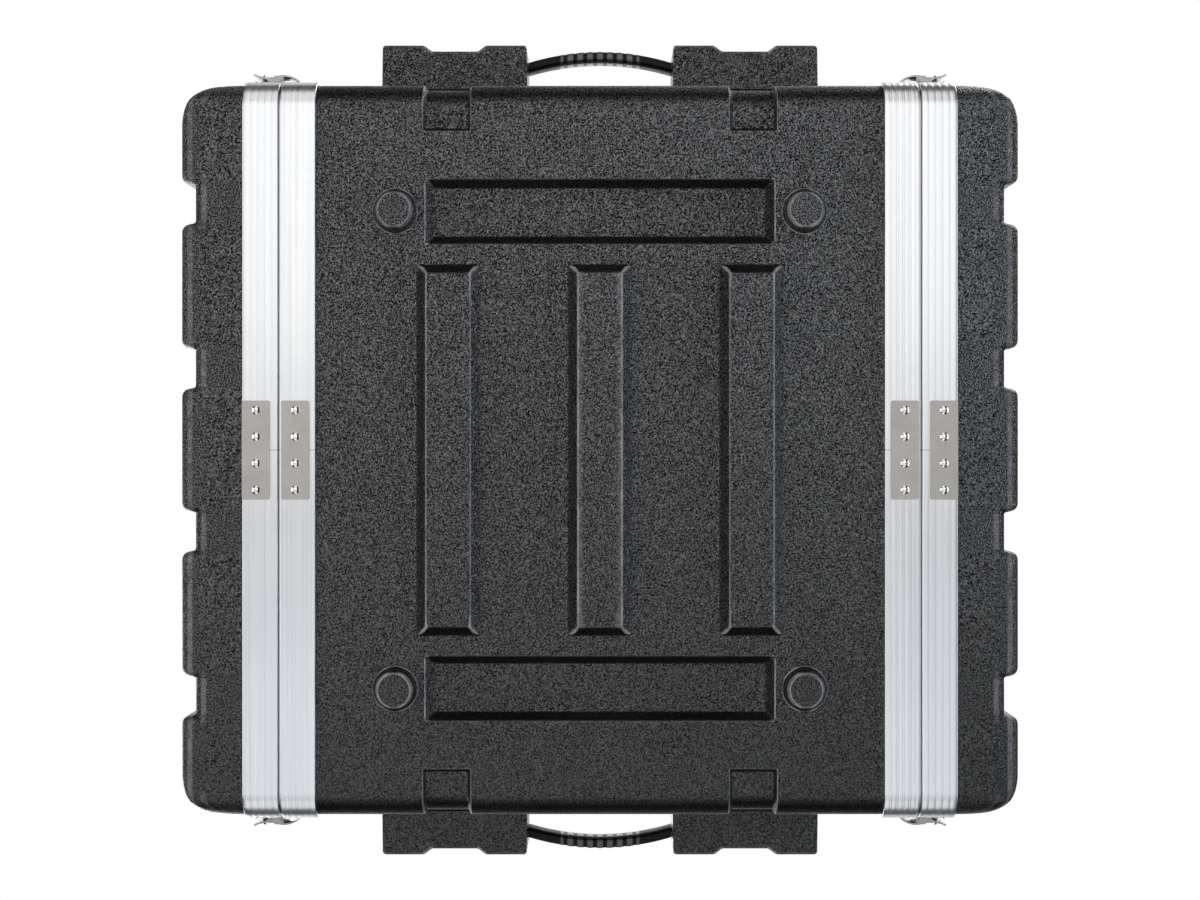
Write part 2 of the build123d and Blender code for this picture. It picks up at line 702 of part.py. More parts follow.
# ---------------------------------------------------------------- handles (right side)
def arch(outer_end_x, thickness, half_length, half_height):
    """Shallow arch that bows outward, as deep as the handle's rise at its middle."""
    outer = ThreePointArc(
        (outer_end_x, -half_length), (outer_end_x + HANDLE_RISE, 0), (outer_end_x, half_length)
    )
    inner_x = outer_end_x - thickness
    inner = ThreePointArc(
        (inner_x, half_length), (inner_x + HANDLE_RISE, 0), (inner_x, -half_length)
    )
    face = make_face(outer + Line(outer @ 1, inner @ 0) + inner + Line(inner @ 1, outer @ 0))
    return Pos(0, 0, MID_Z - half_height) * extrude(face, 2 * half_height)


def core_arch(growth):
    """The stiff strap in the middle of the handle, grown by a clearance."""
    outer_x = HANDLE_OUTER_X - (HANDLE_THICKNESS - CORE_THICKNESS) / 2 + growth
    return arch(outer_x, CORE_THICKNESS + 2 * growth, HANDLE_END_Y, CORE_HALF_HEIGHT + growth)


def end_bosses(growth):
    """Bosses at both ends of the core that turn on the handle pins."""
    start = (HANDLE_PIVOT_X, HANDLE_END_Y - BOSS_LENGTH - growth, MID_Z)
    boss = rod(start, (0, 1, 0), BOSS_RADIUS + growth, BOSS_LENGTH + growth)
    return [boss, flip_y(boss)]


def handle_core():
    """Stiff core strap with a bored boss at each end for the pins."""
    bore = handle_bore(HANDLE_PIN_RADIUS + HOLE_FIT)
    return core_arch(0) + end_bosses(0) - [bore, flip_y(bore)]


def handle_grip():
    """Soft grip moulded over the core."""
    grip = arch(HANDLE_OUTER_X, HANDLE_THICKNESS, HANDLE_END_Y, HANDLE_HALF_HEIGHT)
    return grip - core_arch(FIT) - end_bosses(FIT)


def handle_bore(radius):
    start = HANDLE_END_Y - BOSS_LENGTH - FIT
    return rod((HANDLE_PIVOT_X, start, MID_Z), (0, 1, 0), radius, BOSS_LENGTH + HOLE_LENGTH)


def handle_pin():
    """Pin from the strap's end, through the lug's end wall, to a head inside the lug."""
    radius, height = HANDLE_PIN_HEAD
    inside_y = LUG_INNER_END_Y + WALL + BRACKET_SIZE[1]
    start_y = HANDLE_END_Y - HANDLE_PIN_LAP
    pin = rod((HANDLE_PIVOT_X, start_y, MID_Z), (0, 1, 0), HANDLE_PIN_RADIUS, inside_y - start_y)
    return pin + rod((HANDLE_PIVOT_X, inside_y, MID_Z), (0, 1, 0), radius, height)


def bracket_screw_places():
    return [(HANDLE_PIVOT_X, LUG_INNER_END_Y, MID_Z + side * BRACKET_SCREW_RISE) for side in (-1, 1)]


def bracket_screw_holes():
    return [rod((x, y - 1, z), (0, 1, 0), BRACKET_SCREW_SHANK + HOLE_FIT, HOLE_LENGTH)
            for x, y, z in bracket_screw_places()]


def handle_bracket():
    """Plate inside the lug's end wall that backs the handle pin and ties the half shells."""
    width, thickness, height = BRACKET_SIZE
    inside_y = LUG_INNER_END_Y + WALL
    plate = block(
        (HANDLE_PIVOT_X - width / 2, HANDLE_PIVOT_X + width / 2),
        (inside_y, inside_y + thickness), (MID_Z - height / 2, MID_Z + height / 2),
    )
    return plate - handle_bore(HANDLE_PIN_RADIUS + HOLE_FIT) - bracket_screw_holes()


def bracket_screws():
    reach = BRACKET_SIZE[1] + WALL + RIVET_TAIL
    return [riveted(at, (0, -1, 0), BRACKET_SCREW_HEAD, BRACKET_SCREW_SHANK, reach)
            for at in bracket_screw_places()]


# ---------------------------------------------------------------- the whole case
def each_way(shapes):
    """Every shape of a list, mirrored across the width and the depth."""
    return [image for shape in shapes for image in four_ways(shape)]


def save_body():
    seam_holes = plate_rivet_holes(BODY_PLATE_Y) + latch_rivet_holes(KEEPER_RIVET)
    corner_holes = bolt_holes() + bracket_screw_holes() + [handle_bore(HANDLE_PIN_RADIUS + FIT)]
    shell = body_form(0) - body_form(WALL) - each_way(corner_holes)
    shell -= seam_holes + [flip_y(hole) for hole in seam_holes]
    shell -= join_holes() + [flip_x(hole) for hole in join_holes()]
    reach = LUG_OUTER_X + 1
    span = ((-reach, reach), (-SEAM_Y, SEAM_Y))
    split = HALF_SHELL_GAP / 2
    save("lower_shell", shell & block(*span, (-1, MID_Z - split)))
    save("upper_shell", shell & block(*span, (MID_Z + split, TOP_Z + 1)))

    frame = body_frame()
    plate = joint_plate(BODY_PLATE_Y)
    save("rear_body_frame", frame)
    save("front_body_frame", flip_y(frame))
    save("rear_body_joint_plate", plate)
    save("front_body_joint_plate", flip_y(plate))
    plate_set = plate_rivets(BODY_PLATE_Y)
    keeper_set = [piece for rivet in latch_rivets(KEEPER_RIVET)
                  for piece in latch_places(rivet).values()]
    rear_rivets = plate_set + keeper_set
    save("body_frame_rivets", *rear_rivets, *[flip_y(rivet) for rivet in rear_rivets])
    keepers = latch_places(latch_keeper()).values()
    save("rear_keepers", *keepers)
    save("front_keepers", *[flip_y(keeper) for keeper in keepers])

    strip = join_strip()
    save("right_join_strip", strip)
    save("left_join_strip", flip_x(strip))
    save("join_rivets", *join_rivets(), *[flip_x(rivet) for rivet in join_rivets()])


def save_rails():
    rail = rack_rail()
    save("rear_right_rail", rail)
    save("rear_left_rail", flip_x(rail))
    save("front_right_rail", flip_y(rail))
    save("front_left_rail", flip_y(flip_x(rail)))
    save("rail_bolts", *each_way(rail_bolts()))
    save("rail_nuts", *each_way(rail_nuts()))


def save_handles():
    save("right_handle_core", handle_core())
    save("left_handle_core", flip_x(handle_core()))
    save("right_handle_grip", handle_grip())
    save("left_handle_grip", flip_x(handle_grip()))
    save("handle_pins", *four_ways(handle_pin()))
    save("handle_brackets", *four_ways(handle_bracket()))
    save("bracket_screws", *each_way(bracket_screws()))


def save_lids():
    holes = plate_rivet_holes(LID_PLATE_Y) + latch_rivet_holes(BASE_RIVET)
    rivets = plate_rivets(LID_PLATE_Y) + [
        piece for rivet in latch_rivets(BASE_RIVET) for piece in latch_places(rivet).values()
    ]
    pieces = {
        "lid_shell": [lid_form(0) - lid_form(WALL) - holes],
        "lid_frame": [lid_frame()],
        "lid_seal": [lid_seal()],
        "lid_joint_plate": [joint_plate(LID_PLATE_Y)],
        "lid_rivets": rivets,
        "latch_bases": latch_places(latch_base()).values(),
        "latch_pins": latch_places(latch_pin()).values(),
        "padlock_staples": latch_places(latch_staple()).values(),
    }
    for name, shapes in pieces.items():
        save(f"rear_{name}", *shapes)
        save(f"front_{name}", *[flip_y(shape) for shape in shapes])


def save_latches():
    for kind, shape in (("lever", latch_lever()), ("claw", latch_claw())):
        for place, piece in latch_places(shape).items():
            save(f"rear_{place}_{kind}", piece)
            save(f"front_{place}_{kind}", flip_y(piece))


os.makedirs("parts", exist_ok=True)
save_body()
save_rails()
save_handles()
save_lids()
save_latches()
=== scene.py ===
import math

import bmesh
import bpy
import numpy as np
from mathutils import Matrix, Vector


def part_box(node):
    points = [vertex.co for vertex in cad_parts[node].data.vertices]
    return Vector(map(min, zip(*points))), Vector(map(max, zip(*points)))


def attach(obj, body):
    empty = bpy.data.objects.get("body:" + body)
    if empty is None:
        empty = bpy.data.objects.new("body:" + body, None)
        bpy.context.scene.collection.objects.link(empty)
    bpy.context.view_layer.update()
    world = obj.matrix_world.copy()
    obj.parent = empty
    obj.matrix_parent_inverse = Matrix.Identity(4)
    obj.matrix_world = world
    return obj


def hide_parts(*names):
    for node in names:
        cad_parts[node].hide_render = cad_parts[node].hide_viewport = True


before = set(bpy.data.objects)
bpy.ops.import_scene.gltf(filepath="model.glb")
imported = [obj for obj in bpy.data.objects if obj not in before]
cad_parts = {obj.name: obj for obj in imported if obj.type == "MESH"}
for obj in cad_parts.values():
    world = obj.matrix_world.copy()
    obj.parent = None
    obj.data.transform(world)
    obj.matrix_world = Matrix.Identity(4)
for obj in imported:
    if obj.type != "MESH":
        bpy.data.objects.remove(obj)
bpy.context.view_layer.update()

# ---------------------------------------------------------------- sizes, in metres
MM = 0.001
FRAME_LOW, FRAME_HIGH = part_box("rear_body_frame")
LID_LOW, LID_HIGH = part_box("rear_lid_shell")
LID_FRAME_LOW, LID_FRAME_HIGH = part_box("rear_lid_frame")
SHELL_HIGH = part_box("lower_shell")[1]
GRIP_LOW, GRIP_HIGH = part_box("right_handle_grip")

# Case section, body and lid ends.
BAND_PROUD = 2.5 * MM
WALL = 4.0 * MM
HALF_WIDTH = FRAME_HIGH.x - BAND_PROUD
HALF_HEIGHT = (FRAME_HIGH.z - FRAME_LOW.z) / 2 - BAND_PROUD
MID_Z = (FRAME_HIGH.z + FRAME_LOW.z) / 2
CORNER = 20.0 * MM
BODY_END = SHELL_HIGH.y
LID_START = LID_LOW.y
LID_END = LID_HIGH.y
BAND_WIDTH = LID_FRAME_HIGH.y - LID_FRAME_LOW.y
SEAM = 1.4 * MM
BODY_FACE = LID_FRAME_LOW.y - SEAM
FOOT_HEIGHT = MID_Z - HALF_HEIGHT

# Relief of the body: strips, sunk panels, edge recesses, top seats, feet and lugs.
STRIP_HALF = (133.5 * MM, 23.0 * MM)
STRIP_PITCH = 109.0 * MM
STRIP_HEIGHT = 6.0 * MM
STRIP_SLOPE = 6.5 * MM
PANEL_X = 171.8 * MM
PANEL_HALF = (23.25 * MM, 125.25 * MM)
PANEL_DEPTH = 6.5 * MM
PANEL_SLOPE = 5.5 * MM
RECESS_START = 230.0 * MM
RECESS_Y = 110.5 * MM
RECESS_RISE = 6.0 * MM
RECESS_HALF_WIDTH = 17.0 * MM
RECESS_DEPTH = 3.5 * MM
RECESS_SLOPE = 1.9 * MM
SEAT_DEPTH = 3.0 * MM
SEAT_RADIUS = 18.0 * MM
FOOT_X = 172.0 * MM
FOOT_Y = 147.5 * MM
FOOT_BASE_RADIUS = 15.5 * MM
FOOT_TIP_RADIUS = 13.0 * MM
LUG_Y = 112.0 * MM
LUG_HALF_LENGTH = 56.0 * MM
LUG_HALF_HEIGHT = 23.0 * MM
LUG_RISE = SHELL_HIGH.x - HALF_WIDTH
LUG_EDGE = 3.0 * MM
NOTCH_HALF_FLAT = 17.75 * MM
NOTCH_SLOPE = 6.0 * MM
NOTCH_DEPTH = 4.6 * MM
HALF_GAP = 0.1 * MM    # from each half shell to the split between them

# Soft bends and corners of the relief.
SOFT = 1.3 * MM
RELIEF_CORNER = 3.0 * MM
RECESS_CORNER = 1.0 * MM
RECESS_SOFT = 0.5 * MM
SEAT_SLOPE = 2.0 * MM
SEAT_SOFT = 0.9 * MM
FOOT_SOFT = 1.6 * MM
LUG_WALL = 0.5 * MM
DRAFT_SHARE = 0.45    # share of the wall by which a sloping side shifts between its two faces

# Lid form, its grooves, and the core that its surface is projected from.
GROOVE_X = [x * MM for x in (-178.0, -59.0, 59.0, 178.0)]
GROOVE_HALF = 14.0 * MM
GROOVE_FLARE = 0.14
GROOVE_DEPTH = 10.0 * MM
LID_PLAN_RADIUS = 34.0 * MM
LID_EDGE_RADIUS = 12.0 * MM
LID_BLEND = 3.0 * MM
GROOVE_MOUTH = 6.0 * MM
GROOVE_ROOT = 2.0 * MM
LID_CORE_MARGIN = (42.0 * MM, 42.0 * MM, 30.0 * MM)
LID_REACH = 90.0 * MM
LID_HALVINGS = 26

# Frame section: offsets run outward from the shell's face, distances run along Y.
FIT = 0.1 * MM
LEG_OUT = 6.1 * MM
LEG_IN = 4.1 * MM
BODY_WEB = 3.0 * MM
BODY_LEG_LENGTH = 18.3 * MM
TONGUE = (1.7 * MM, 3.6 * MM, 3.9 * MM, 4.5 * MM)    # tip outside, tip inside, root, length
LID_GROOVE_INNER = 4.6 * MM
LID_WEB = (4.3 * MM, 7.3 * MM)
LID_LEG_LENGTH = 20.6 * MM
BODY_FLUTES = [y * MM for y in (4.0, 5.3, 8.6, 9.9, 13.2, 14.5, 17.8, 19.1, 22.4)]
LID_FLUTES = [5.1 * MM * (k + 1) for k in range(4)]
BODY_FLUTE = (0.08 * MM, 0.6 * MM)    # depth and half width
LID_FLUTE = (0.13 * MM, 1.5 * MM)
FRAME_EDGE = 0.5 * MM
BUTT_GAP = 0.15 * MM

# Handle grip.
GRIP_RISE = 8.2 * MM
GRIP_THICKNESS = GRIP_HIGH.x - GRIP_LOW.x - GRIP_RISE
GRIP_SQUARENESS = 0.55
PAD_PITCH = 7.7 * MM
PADS_END = 31.5 * MM
PAD_FADE = 3.0 * MM
PAD_RELIEF = 0.5 * MM

# Stage.
CAMERA_DISTANCE = 1.25
CAMERA_LENS = 52.08
FLOOR_HALF = 6.0
FLOOR_DROP = 0.2 * MM
WORLD_COLOUR = (0.92, 0.94, 0.97, 1.0)
WORLD_STRENGTH = 0.045
WHITE = (1.0, 1.0, 1.0)
COOL = (0.91, 0.95, 1.0)


# ---------------------------------------------------------------- node helpers
class Nodes:
    """Short way to lay out one material's nodes."""

    def __init__(self, name):
        self.material = bpy.data.materials.new(name)
        self.material.use_nodes = True
        self.tree = self.material.node_tree
        self.shader = self.tree.nodes["Principled BSDF"]
        coordinates = self.add("ShaderNodeTexCoord")
        self.place, self.facing = coordinates.outputs["Object"], coordinates.outputs["Normal"]

    def add(self, kind, **inputs):
        node = self.tree.nodes.new(kind)
        for key, value in inputs.items():
            self.feed(node.inputs[key.replace("_", " ")], value)
        return node

    def feed(self, socket, value):
        if isinstance(value, bpy.types.NodeSocket):
            self.tree.links.new(value, socket)
        else:
            socket.default_value = value

    def stretch(self, scale):
        """Object coordinates scaled axis by axis."""
        mapping = self.add("ShaderNodeMapping", Vector=self.place)
        mapping.inputs["Scale"].default_value = scale
        return mapping.outputs["Vector"]

    def noise(self, scale, detail=2.0, roughness=0.5, place=None):
        node = self.add("ShaderNodeTexNoise", Vector=place or self.place, Scale=scale,
                        Detail=detail, Roughness=roughness)
        return node.outputs["Fac"]

    def math(self, operation, a, b=0.0):
        node = self.tree.nodes.new("ShaderNodeMath")
        node.operation = operation
        self.feed(node.inputs[0], a)
        self.feed(node.inputs[1], b)
        return node.outputs[0]

    def span(self, value, low, high, out_low, out_high):
        """Map one range of a value onto another, and clamp it."""
        node = self.tree.nodes.new("ShaderNodeMapRange")
        for index, item in enumerate((value, low, high, out_low, out_high)):
            self.feed(node.inputs[index], item)
        return node.outputs[0]

    def blend(self, factor, first, second):
        node = self.tree.nodes.new("ShaderNodeMix")
        node.data_type = "RGBA"
        self.feed(node.inputs["Factor"], factor)
        self.feed(node.inputs[6], (*first, 1.0) if isinstance(first, tuple) else first)
        self.feed(node.inputs[7], (*second, 1.0) if isinstance(second, tuple) else second)
        return node.outputs[2]

    def bump(self, height, distance, strength=1.0):
        node = self.add("ShaderNodeBump", Height=height, Distance=distance, Strength=strength)
        return node.outputs["Normal"]

    def edges(self, low, high):
        """How far a point stands out on a convex edge, from 0 to 1."""
        pointiness = self.add("ShaderNodeNewGeometry").outputs["Pointiness"]
        return self.span(pointiness, low, high, 0.0, 1.0)

    def finish(self, **inputs):
        for key, value in inputs.items():
            self.feed(self.shader.inputs[key.replace("_", " ")], value)
        return self.material


# ---------------------------------------------------------------- materials
def pebble_grain(n):
    """Pebble height: crisp on the +X side and softer toward -X, and lifted there; used as colour
    and gloss, the lift paints the +X side lighter and glossier as painted light from above, and the
    low grain darker as painted shade.
    """
    lumps = n.span(n.noise(930.0, 1.0, 0.5), 0.35, 0.68, 0.0, 0.84)
    cell = n.add("ShaderNodeTexVoronoi", Vector=n.place, Scale=660.0)
    pebbles = n.span(cell.outputs["Distance"], 0.15, 0.75, 1.0, 0.0)
    grain = n.math("ADD", lumps, n.math("MULTIPLY", pebbles, 0.3))
    across = n.add("ShaderNodeSeparateXYZ", Vector=n.place).outputs["X"]
    depth = n.span(across, -0.24, 0.22, 0.50, 1.6)
    # painted light: the grain is lifted toward the +X side, so colour and gloss taken from it are
    # lighter there
    level = n.span(across, -0.20, 0.30, 0.35, 0.64)
    mean_height = 0.48
    return n.math("ADD", n.math("MULTIPLY", n.math("SUBTRACT", grain, mean_height), depth), level)


def painted_crest_highlights(n, wall_lean):
    """Painted highlight: where pale colour goes, on the bends at the top of walls and on every
    sharp edge, in patches.
    """
    lean = n.math("ABSOLUTE", wall_lean)
    from_flat, to_wall = n.span(lean, 0.03, 0.12, 0.0, 1.0), n.span(lean, 0.26, 0.40, 1.0, 0.0)
    bend = n.math("MULTIPLY", n.math("MULTIPLY", from_flat, to_wall), n.edges(0.503, 0.508))
    sharp = n.math("MULTIPLY", n.edges(0.512, 0.535), 0.5)
    patchy = n.span(n.noise(90.0, 4.0), 0.3, 0.7, 0.35, 1.0)
    return n.math("MULTIPLY", n.math("MAXIMUM", bend, sharp), patchy)


def pebbled_abs(name, slope_shade_gloss, wall_shade_gloss, crest_highlight_tone):
    """Black thermoformed ABS: glossy pebbles, with painted shade in the low grain, painted
    highlights along crests and edges, and slopes and walls painted dark as shade by cutting their
    reflection.
    """
    n = Nodes(name)
    # tones: pebble tops, painted shade between pebbles, random light patches, painted highlight on
    # crests and edges
    tops, valley_shade, worn, crest_highlight = ((tone,) * 3 for tone in (0.008, 0.002, 0.022, crest_highlight_tone))
    grain = pebble_grain(n)
    normal = n.add("ShaderNodeSeparateXYZ", Vector=n.facing)
    slope_lean = n.math("MULTIPLY", normal.outputs["X"], normal.outputs["Z"])
    wall_lean = n.math("MULTIPLY", normal.outputs["Y"], normal.outputs["Z"])
    cloud = n.noise(14.0, 4.0, 0.6)
    # painted shade: the low grain between pebbles is coloured near black, the high grain lighter
    colour = n.blend(grain, valley_shade, tops)
    colour = n.blend(n.span(cloud, 0.35, 0.75, 0.0, 0.2), colour, worn)
    # painted highlight: the bends at wall tops and the sharp edges are coloured pale, standing for
    # the shine along them
    colour = n.blend(painted_crest_highlights(n, wall_lean), colour, crest_highlight)
    rough = n.span(n.math("ADD", grain, cloud), 0.5, 1.4, 0.42, 0.28)
    # gloss follows the grain: low between pebbles as painted shade, and higher on the +X side as
    # painted glints
    gloss = n.span(grain, 0.10, 1.15, 0.02, 1.0)
    # painted shade: slopes and walls keep only a share of their reflection, so they come out dark
    # as if shaded
    for lean, shaded_gloss in ((n.math("ABSOLUTE", slope_lean), slope_shade_gloss), (wall_lean, wall_shade_gloss)):
        gloss = n.math("MULTIPLY", gloss, n.span(lean, 0.20, 0.46, 1.0, shaded_gloss))
    return n.finish(Base_Color=colour, Roughness=rough, IOR=1.92, Specular_IOR_Level=gloss,
                    Normal=n.bump(grain, 0.5 * MM))


def extruded_aluminium():
    """Satin extrusion: soft bands and die lines that run along it, and faint dull patches."""
    n = Nodes("extruded_aluminium")
    die_lines = n.noise(1.0, 2.0, 0.6, n.stretch((1.5, 620.0, 1.5)))
    bands = n.noise(1.0, 1.0, 0.5, n.stretch((2.5, 150.0, 2.5)))
    patches = n.noise(14.0, 3.0, 0.55)
    clean, bright, dull = (0.83, 0.835, 0.84), (0.88, 0.882, 0.885), (0.62, 0.63, 0.66)
    colour = n.blend(n.span(patches, 0.3, 0.7, 0.0, 1.0), clean, bright)
    colour = n.blend(n.span(die_lines, 0.40, 0.60, 0.30, 0.0), colour, dull)
    colour = n.blend(n.span(bands, 0.40, 0.62, 0.22, 0.0), colour, dull)
    rough = n.span(n.math("ADD", die_lines, n.math("MULTIPLY", patches, 0.4)), 0.4, 1.0, 0.26, 0.36)
    return n.finish(Base_Color=colour, Metallic=1.0, Roughness=rough,
                    Normal=n.bump(bands, 0.12 * MM, 0.6))


def brushed_metal(name, dark, light, along, roughness):
    """Sheet metal brushed in one direction, with handling marks."""
    n = Nodes(name)
    brush = n.noise(1.0, 4.0, 0.7, n.stretch(along))
    marks = n.noise(45.0, 5.0, 0.65)
    colour = n.blend(n.span(marks, 0.3, 0.75, 0.0, 1.0), dark, light)
    low, high = roughness
    rough = n.span(n.math("ADD", brush, n.math("MULTIPLY", marks, 0.5)), 0.4, 1.1, low, high)
    return n.finish(Base_Color=colour, Metallic=1.0, Roughness=rough,
                    Normal=n.bump(brush, 0.03 * MM, 0.5))


def bright_rivet():
    """Polished rivet heads with fine marks."""
    n = Nodes("bright_rivet")
    marks = n.noise(350.0, 3.0, 0.6)
    worn, bright = (0.70, 0.70, 0.69), (0.88, 0.88, 0.87)
    colour = n.blend(n.span(marks, 0.35, 0.7, 0.0, 1.0), worn, bright)
    return n.finish(Base_Color=colour, Metallic=1.0, Roughness=n.span(marks, 0.3, 0.7, 0.05, 0.12),
                    Normal=n.bump(marks, 0.01 * MM, 0.3))


def black_coat(name, base, roughness, texture_scale, depth):
    """Black powder coat or blackened steel with a fine orange peel."""
    n = Nodes(name)
    peel = n.noise(texture_scale, 3.0, 0.55)
    cloud = n.noise(30.0, 3.0, 0.6)
    colour = n.blend(n.span(cloud, 0.3, 0.7, 0.0, 1.0), base, tuple(c * 1.5 for c in base))
    wear = n.math("MULTIPLY", n.edges(0.54, 0.62), 0.35)
    colour = n.blend(wear, colour, (0.28, 0.28, 0.27))
    low, high = roughness
    return n.finish(Base_Color=colour, Roughness=n.span(peel, 0.3, 0.7, low, high),
                    Normal=n.bump(peel, depth, 0.6))


def soft_rubber(name, base, roughness):
    """Matt black foam rubber with a little dust."""
    n = Nodes(name)
    skin = n.noise(1400.0, 3.0, 0.6)
    dust = n.noise(70.0, 4.0, 0.6)
    colour = n.blend(n.span(dust, 0.35, 0.75, 0.0, 1.0), base, tuple(c * 1.8 for c in base))
    low, high = roughness
    return n.finish(Base_Color=colour, Roughness=n.span(dust, 0.3, 0.7, low, high),
                    Normal=n.bump(skin, 0.08 * MM, 0.6))


def ribbed_rubber(pitch, end):
    """Grip rubber: black, with glossier pads along its middle, painted lighter as painted
    highlights.
    """
    n = Nodes("grip_rubber")
    along = n.add("ShaderNodeSeparateXYZ", Vector=n.place).outputs["Y"]
    wave = n.math("COSINE", n.math("MULTIPLY", along, 2 * math.pi / pitch))
    inside = n.span(n.math("ABSOLUTE", along), end - 2.0 * MM, end, 1.0, 0.0)
    pad = n.math("MULTIPLY", n.span(wave, -0.55, 0.1, 0.0, 1.0), inside)
    dust = n.noise(90.0, 4.0, 0.6)
    black, highlight_and_dust_grey = (0.004, 0.004, 0.004), (0.030, 0.030, 0.030)
    # painted highlight: the pads are coloured lighter for the shine on them; dust then adds the
    # same light tone in random spots
    colour = n.blend(pad, black, highlight_and_dust_grey)
    colour = n.blend(n.span(dust, 0.45, 0.8, 0.0, 0.3), colour, highlight_and_dust_grey)
    rough = n.math("ADD", n.span(pad, 0.0, 1.0, 0.36, 0.22), n.span(dust, 0.3, 0.7, 0.0, 0.06))
    gloss = n.span(pad, 0.0, 1.0, 0.15, 1.0)
    skin = n.noise(1400.0, 3.0, 0.6)
    return n.finish(Base_Color=colour, Roughness=rough, Specular_IOR_Level=gloss,
                    Normal=n.bump(skin, 0.05 * MM, 0.5))


ABS = pebbled_abs("pebbled_abs", slope_shade_gloss=0.08, wall_shade_gloss=0.3, crest_highlight_tone=0.38)
LID_ABS = pebbled_abs("pebbled_lid_abs", slope_shade_gloss=0.55, wall_shade_gloss=1.0, crest_highlight_tone=0.14)
ALUMINIUM = extruded_aluminium()
PLATE_STEEL = brushed_metal(
    "plate_steel", (0.40, 0.38, 0.36), (0.50, 0.475, 0.45), (2200.0, 40.0, 40.0), (0.32, 0.48))
ZINC = brushed_metal(
    "zinc_plate", (0.24, 0.24, 0.235), (0.40, 0.40, 0.39), (60.0, 60.0, 1800.0), (0.18, 0.32))
RIVET = bright_rivet()
RAIL_COAT = black_coat(
    "rail_powder_coat", (0.022, 0.022, 0.023), (0.38, 0.55), 900.0, 0.12 * MM)
DARK_STEEL = black_coat(
    "blackened_steel", (0.045, 0.045, 0.046), (0.28, 0.42), 1500.0, 0.04 * MM)
GRIP_RUBBER = ribbed_rubber(PAD_PITCH, PADS_END)
SEAL_FOAM = soft_rubber("seal_foam", (0.028, 0.028, 0.029), (0.75, 0.92))


# ---------------------------------------------------------------- mesh helpers
def turn_outward(mesh):
    """Make every face of a closed mesh face outward."""
    form = bmesh.new()
    form.from_mesh(mesh)
    bmesh.ops.recalc_face_normals(form, faces=form.faces)
    form.to_mesh(mesh)
    form.free()


def piece(name, parts, material, body, nodes, sharp_from=38.0):
    """Mesh object from (points, faces) parts, riding on a body in place of CAD nodes."""
    points, faces, start = [], [], 0
    for part_points, part_faces in parts:
        points.append(np.asarray(part_points, float).reshape(-1, 3))
        faces += [tuple(index + start for index in face) for face in part_faces]
        start += len(points[-1])
    mesh = bpy.data.meshes.new(name)
    mesh.from_pydata(np.concatenate(points).tolist(), [], faces)
    mesh.validate()
    turn_outward(mesh)
    mesh.shade_smooth()
    mesh.set_sharp_from_angle(angle=math.radians(sharp_from))
    mesh.materials.append(material)
    obj = bpy.data.objects.new(name, mesh)
    bpy.context.scene.collection.objects.link(obj)
    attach(obj, body)
    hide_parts(*nodes)
    return obj


def grid_faces(rows, columns, start=0):
    """Quads of a grid of points stored row by row."""
    faces = []
    for row in range(rows - 1):
        for column in range(columns - 1):
            a = start + row * columns + column
            faces.append((a, a + 1, a + columns + 1, a + columns))
    return faces


def rim_loop(rows, columns):
    """Indices round the border of a grid, in order."""
    top = list(range(columns))
    right = [row * columns + columns - 1 for row in range(1, rows)]
    bottom = [(rows - 1) * columns + column for column in range(columns - 2, -1, -1)]
    left = [row * columns for row in range(rows - 2, 0, -1)]
    return top + right + bottom + left


def closed_sheet(outer, inner):
    """Closed wall between two point grids of the same shape."""
    rows, columns = outer.shape[:2]
    count = rows * columns
    faces = grid_faces(rows, columns) + grid_faces(rows, columns, count)
    loop = rim_loop(rows, columns)
    for here, there in zip(loop, loop[1:] + loop[:1]):
        faces.append((there, here, here + count, there + count))
    return np.concatenate([outer.reshape(-1, 3), inner.reshape(-1, 3)]), faces


def mirrored(part, axis, centre=0.0):
    """Mirror a (points, faces) part across a plane."""
    points, faces = part
    points = np.array(points, float).reshape(-1, 3)
    points[:, axis] = 2 * centre - points[:, axis]
    return points, faces


def lathe(profile, centre, steps=48):
    """Closed turned part about a vertical axis from (radius, height) points, axis to axis."""
    angles = np.arange(steps) * 2 * math.pi / steps
    inner = profile[1:-1]
    points = [(centre[0], centre[1], profile[0][1])]
    for radius, height in inner:
        points += [(centre[0] + radius * math.cos(a), centre[1] + radius * math.sin(a), height)
                   for a in angles]
    points.append((centre[0], centre[1], profile[-1][1]))
    faces = [(0, 1 + (k + 1) % steps, 1 + k) for k in range(steps)]
    for ring in range(len(inner) - 1):
        base = 1 + ring * steps
        for k in range(steps):
            after = (k + 1) % steps
            faces.append((base + k, base + after, base + steps + after, base + steps + k))
    last, base = len(points) - 1, 1 + (len(inner) - 1) * steps
    faces += [(last, base + k, base + (k + 1) % steps) for k in range(steps)]
    return points, faces


def soft_relu(x, soft):
    """0 below, x above, with a round bend of a given half width."""
    parabola = np.clip(x + soft, 0, 2 * soft) ** 2 / (4 * soft)
    return np.where(x > soft, x, parabola)


def ramp(distance, slope, soft):
    """0 to 1 over a slope, rounded at both ends."""
    return (soft_relu(distance, soft) - soft_relu(distance - slope, soft)) / slope


def soft_min(a, b, soft):
    """The smaller of two values, blended where they are closer than a given width."""
    gap = np.clip(soft - np.abs(a - b), 0, None) / soft
    return np.minimum(a, b) - gap**2 * soft / 4


def soft_max(a, b, soft):
    """The larger of two values, blended in the same way."""
    return -soft_min(-a, -b, soft)


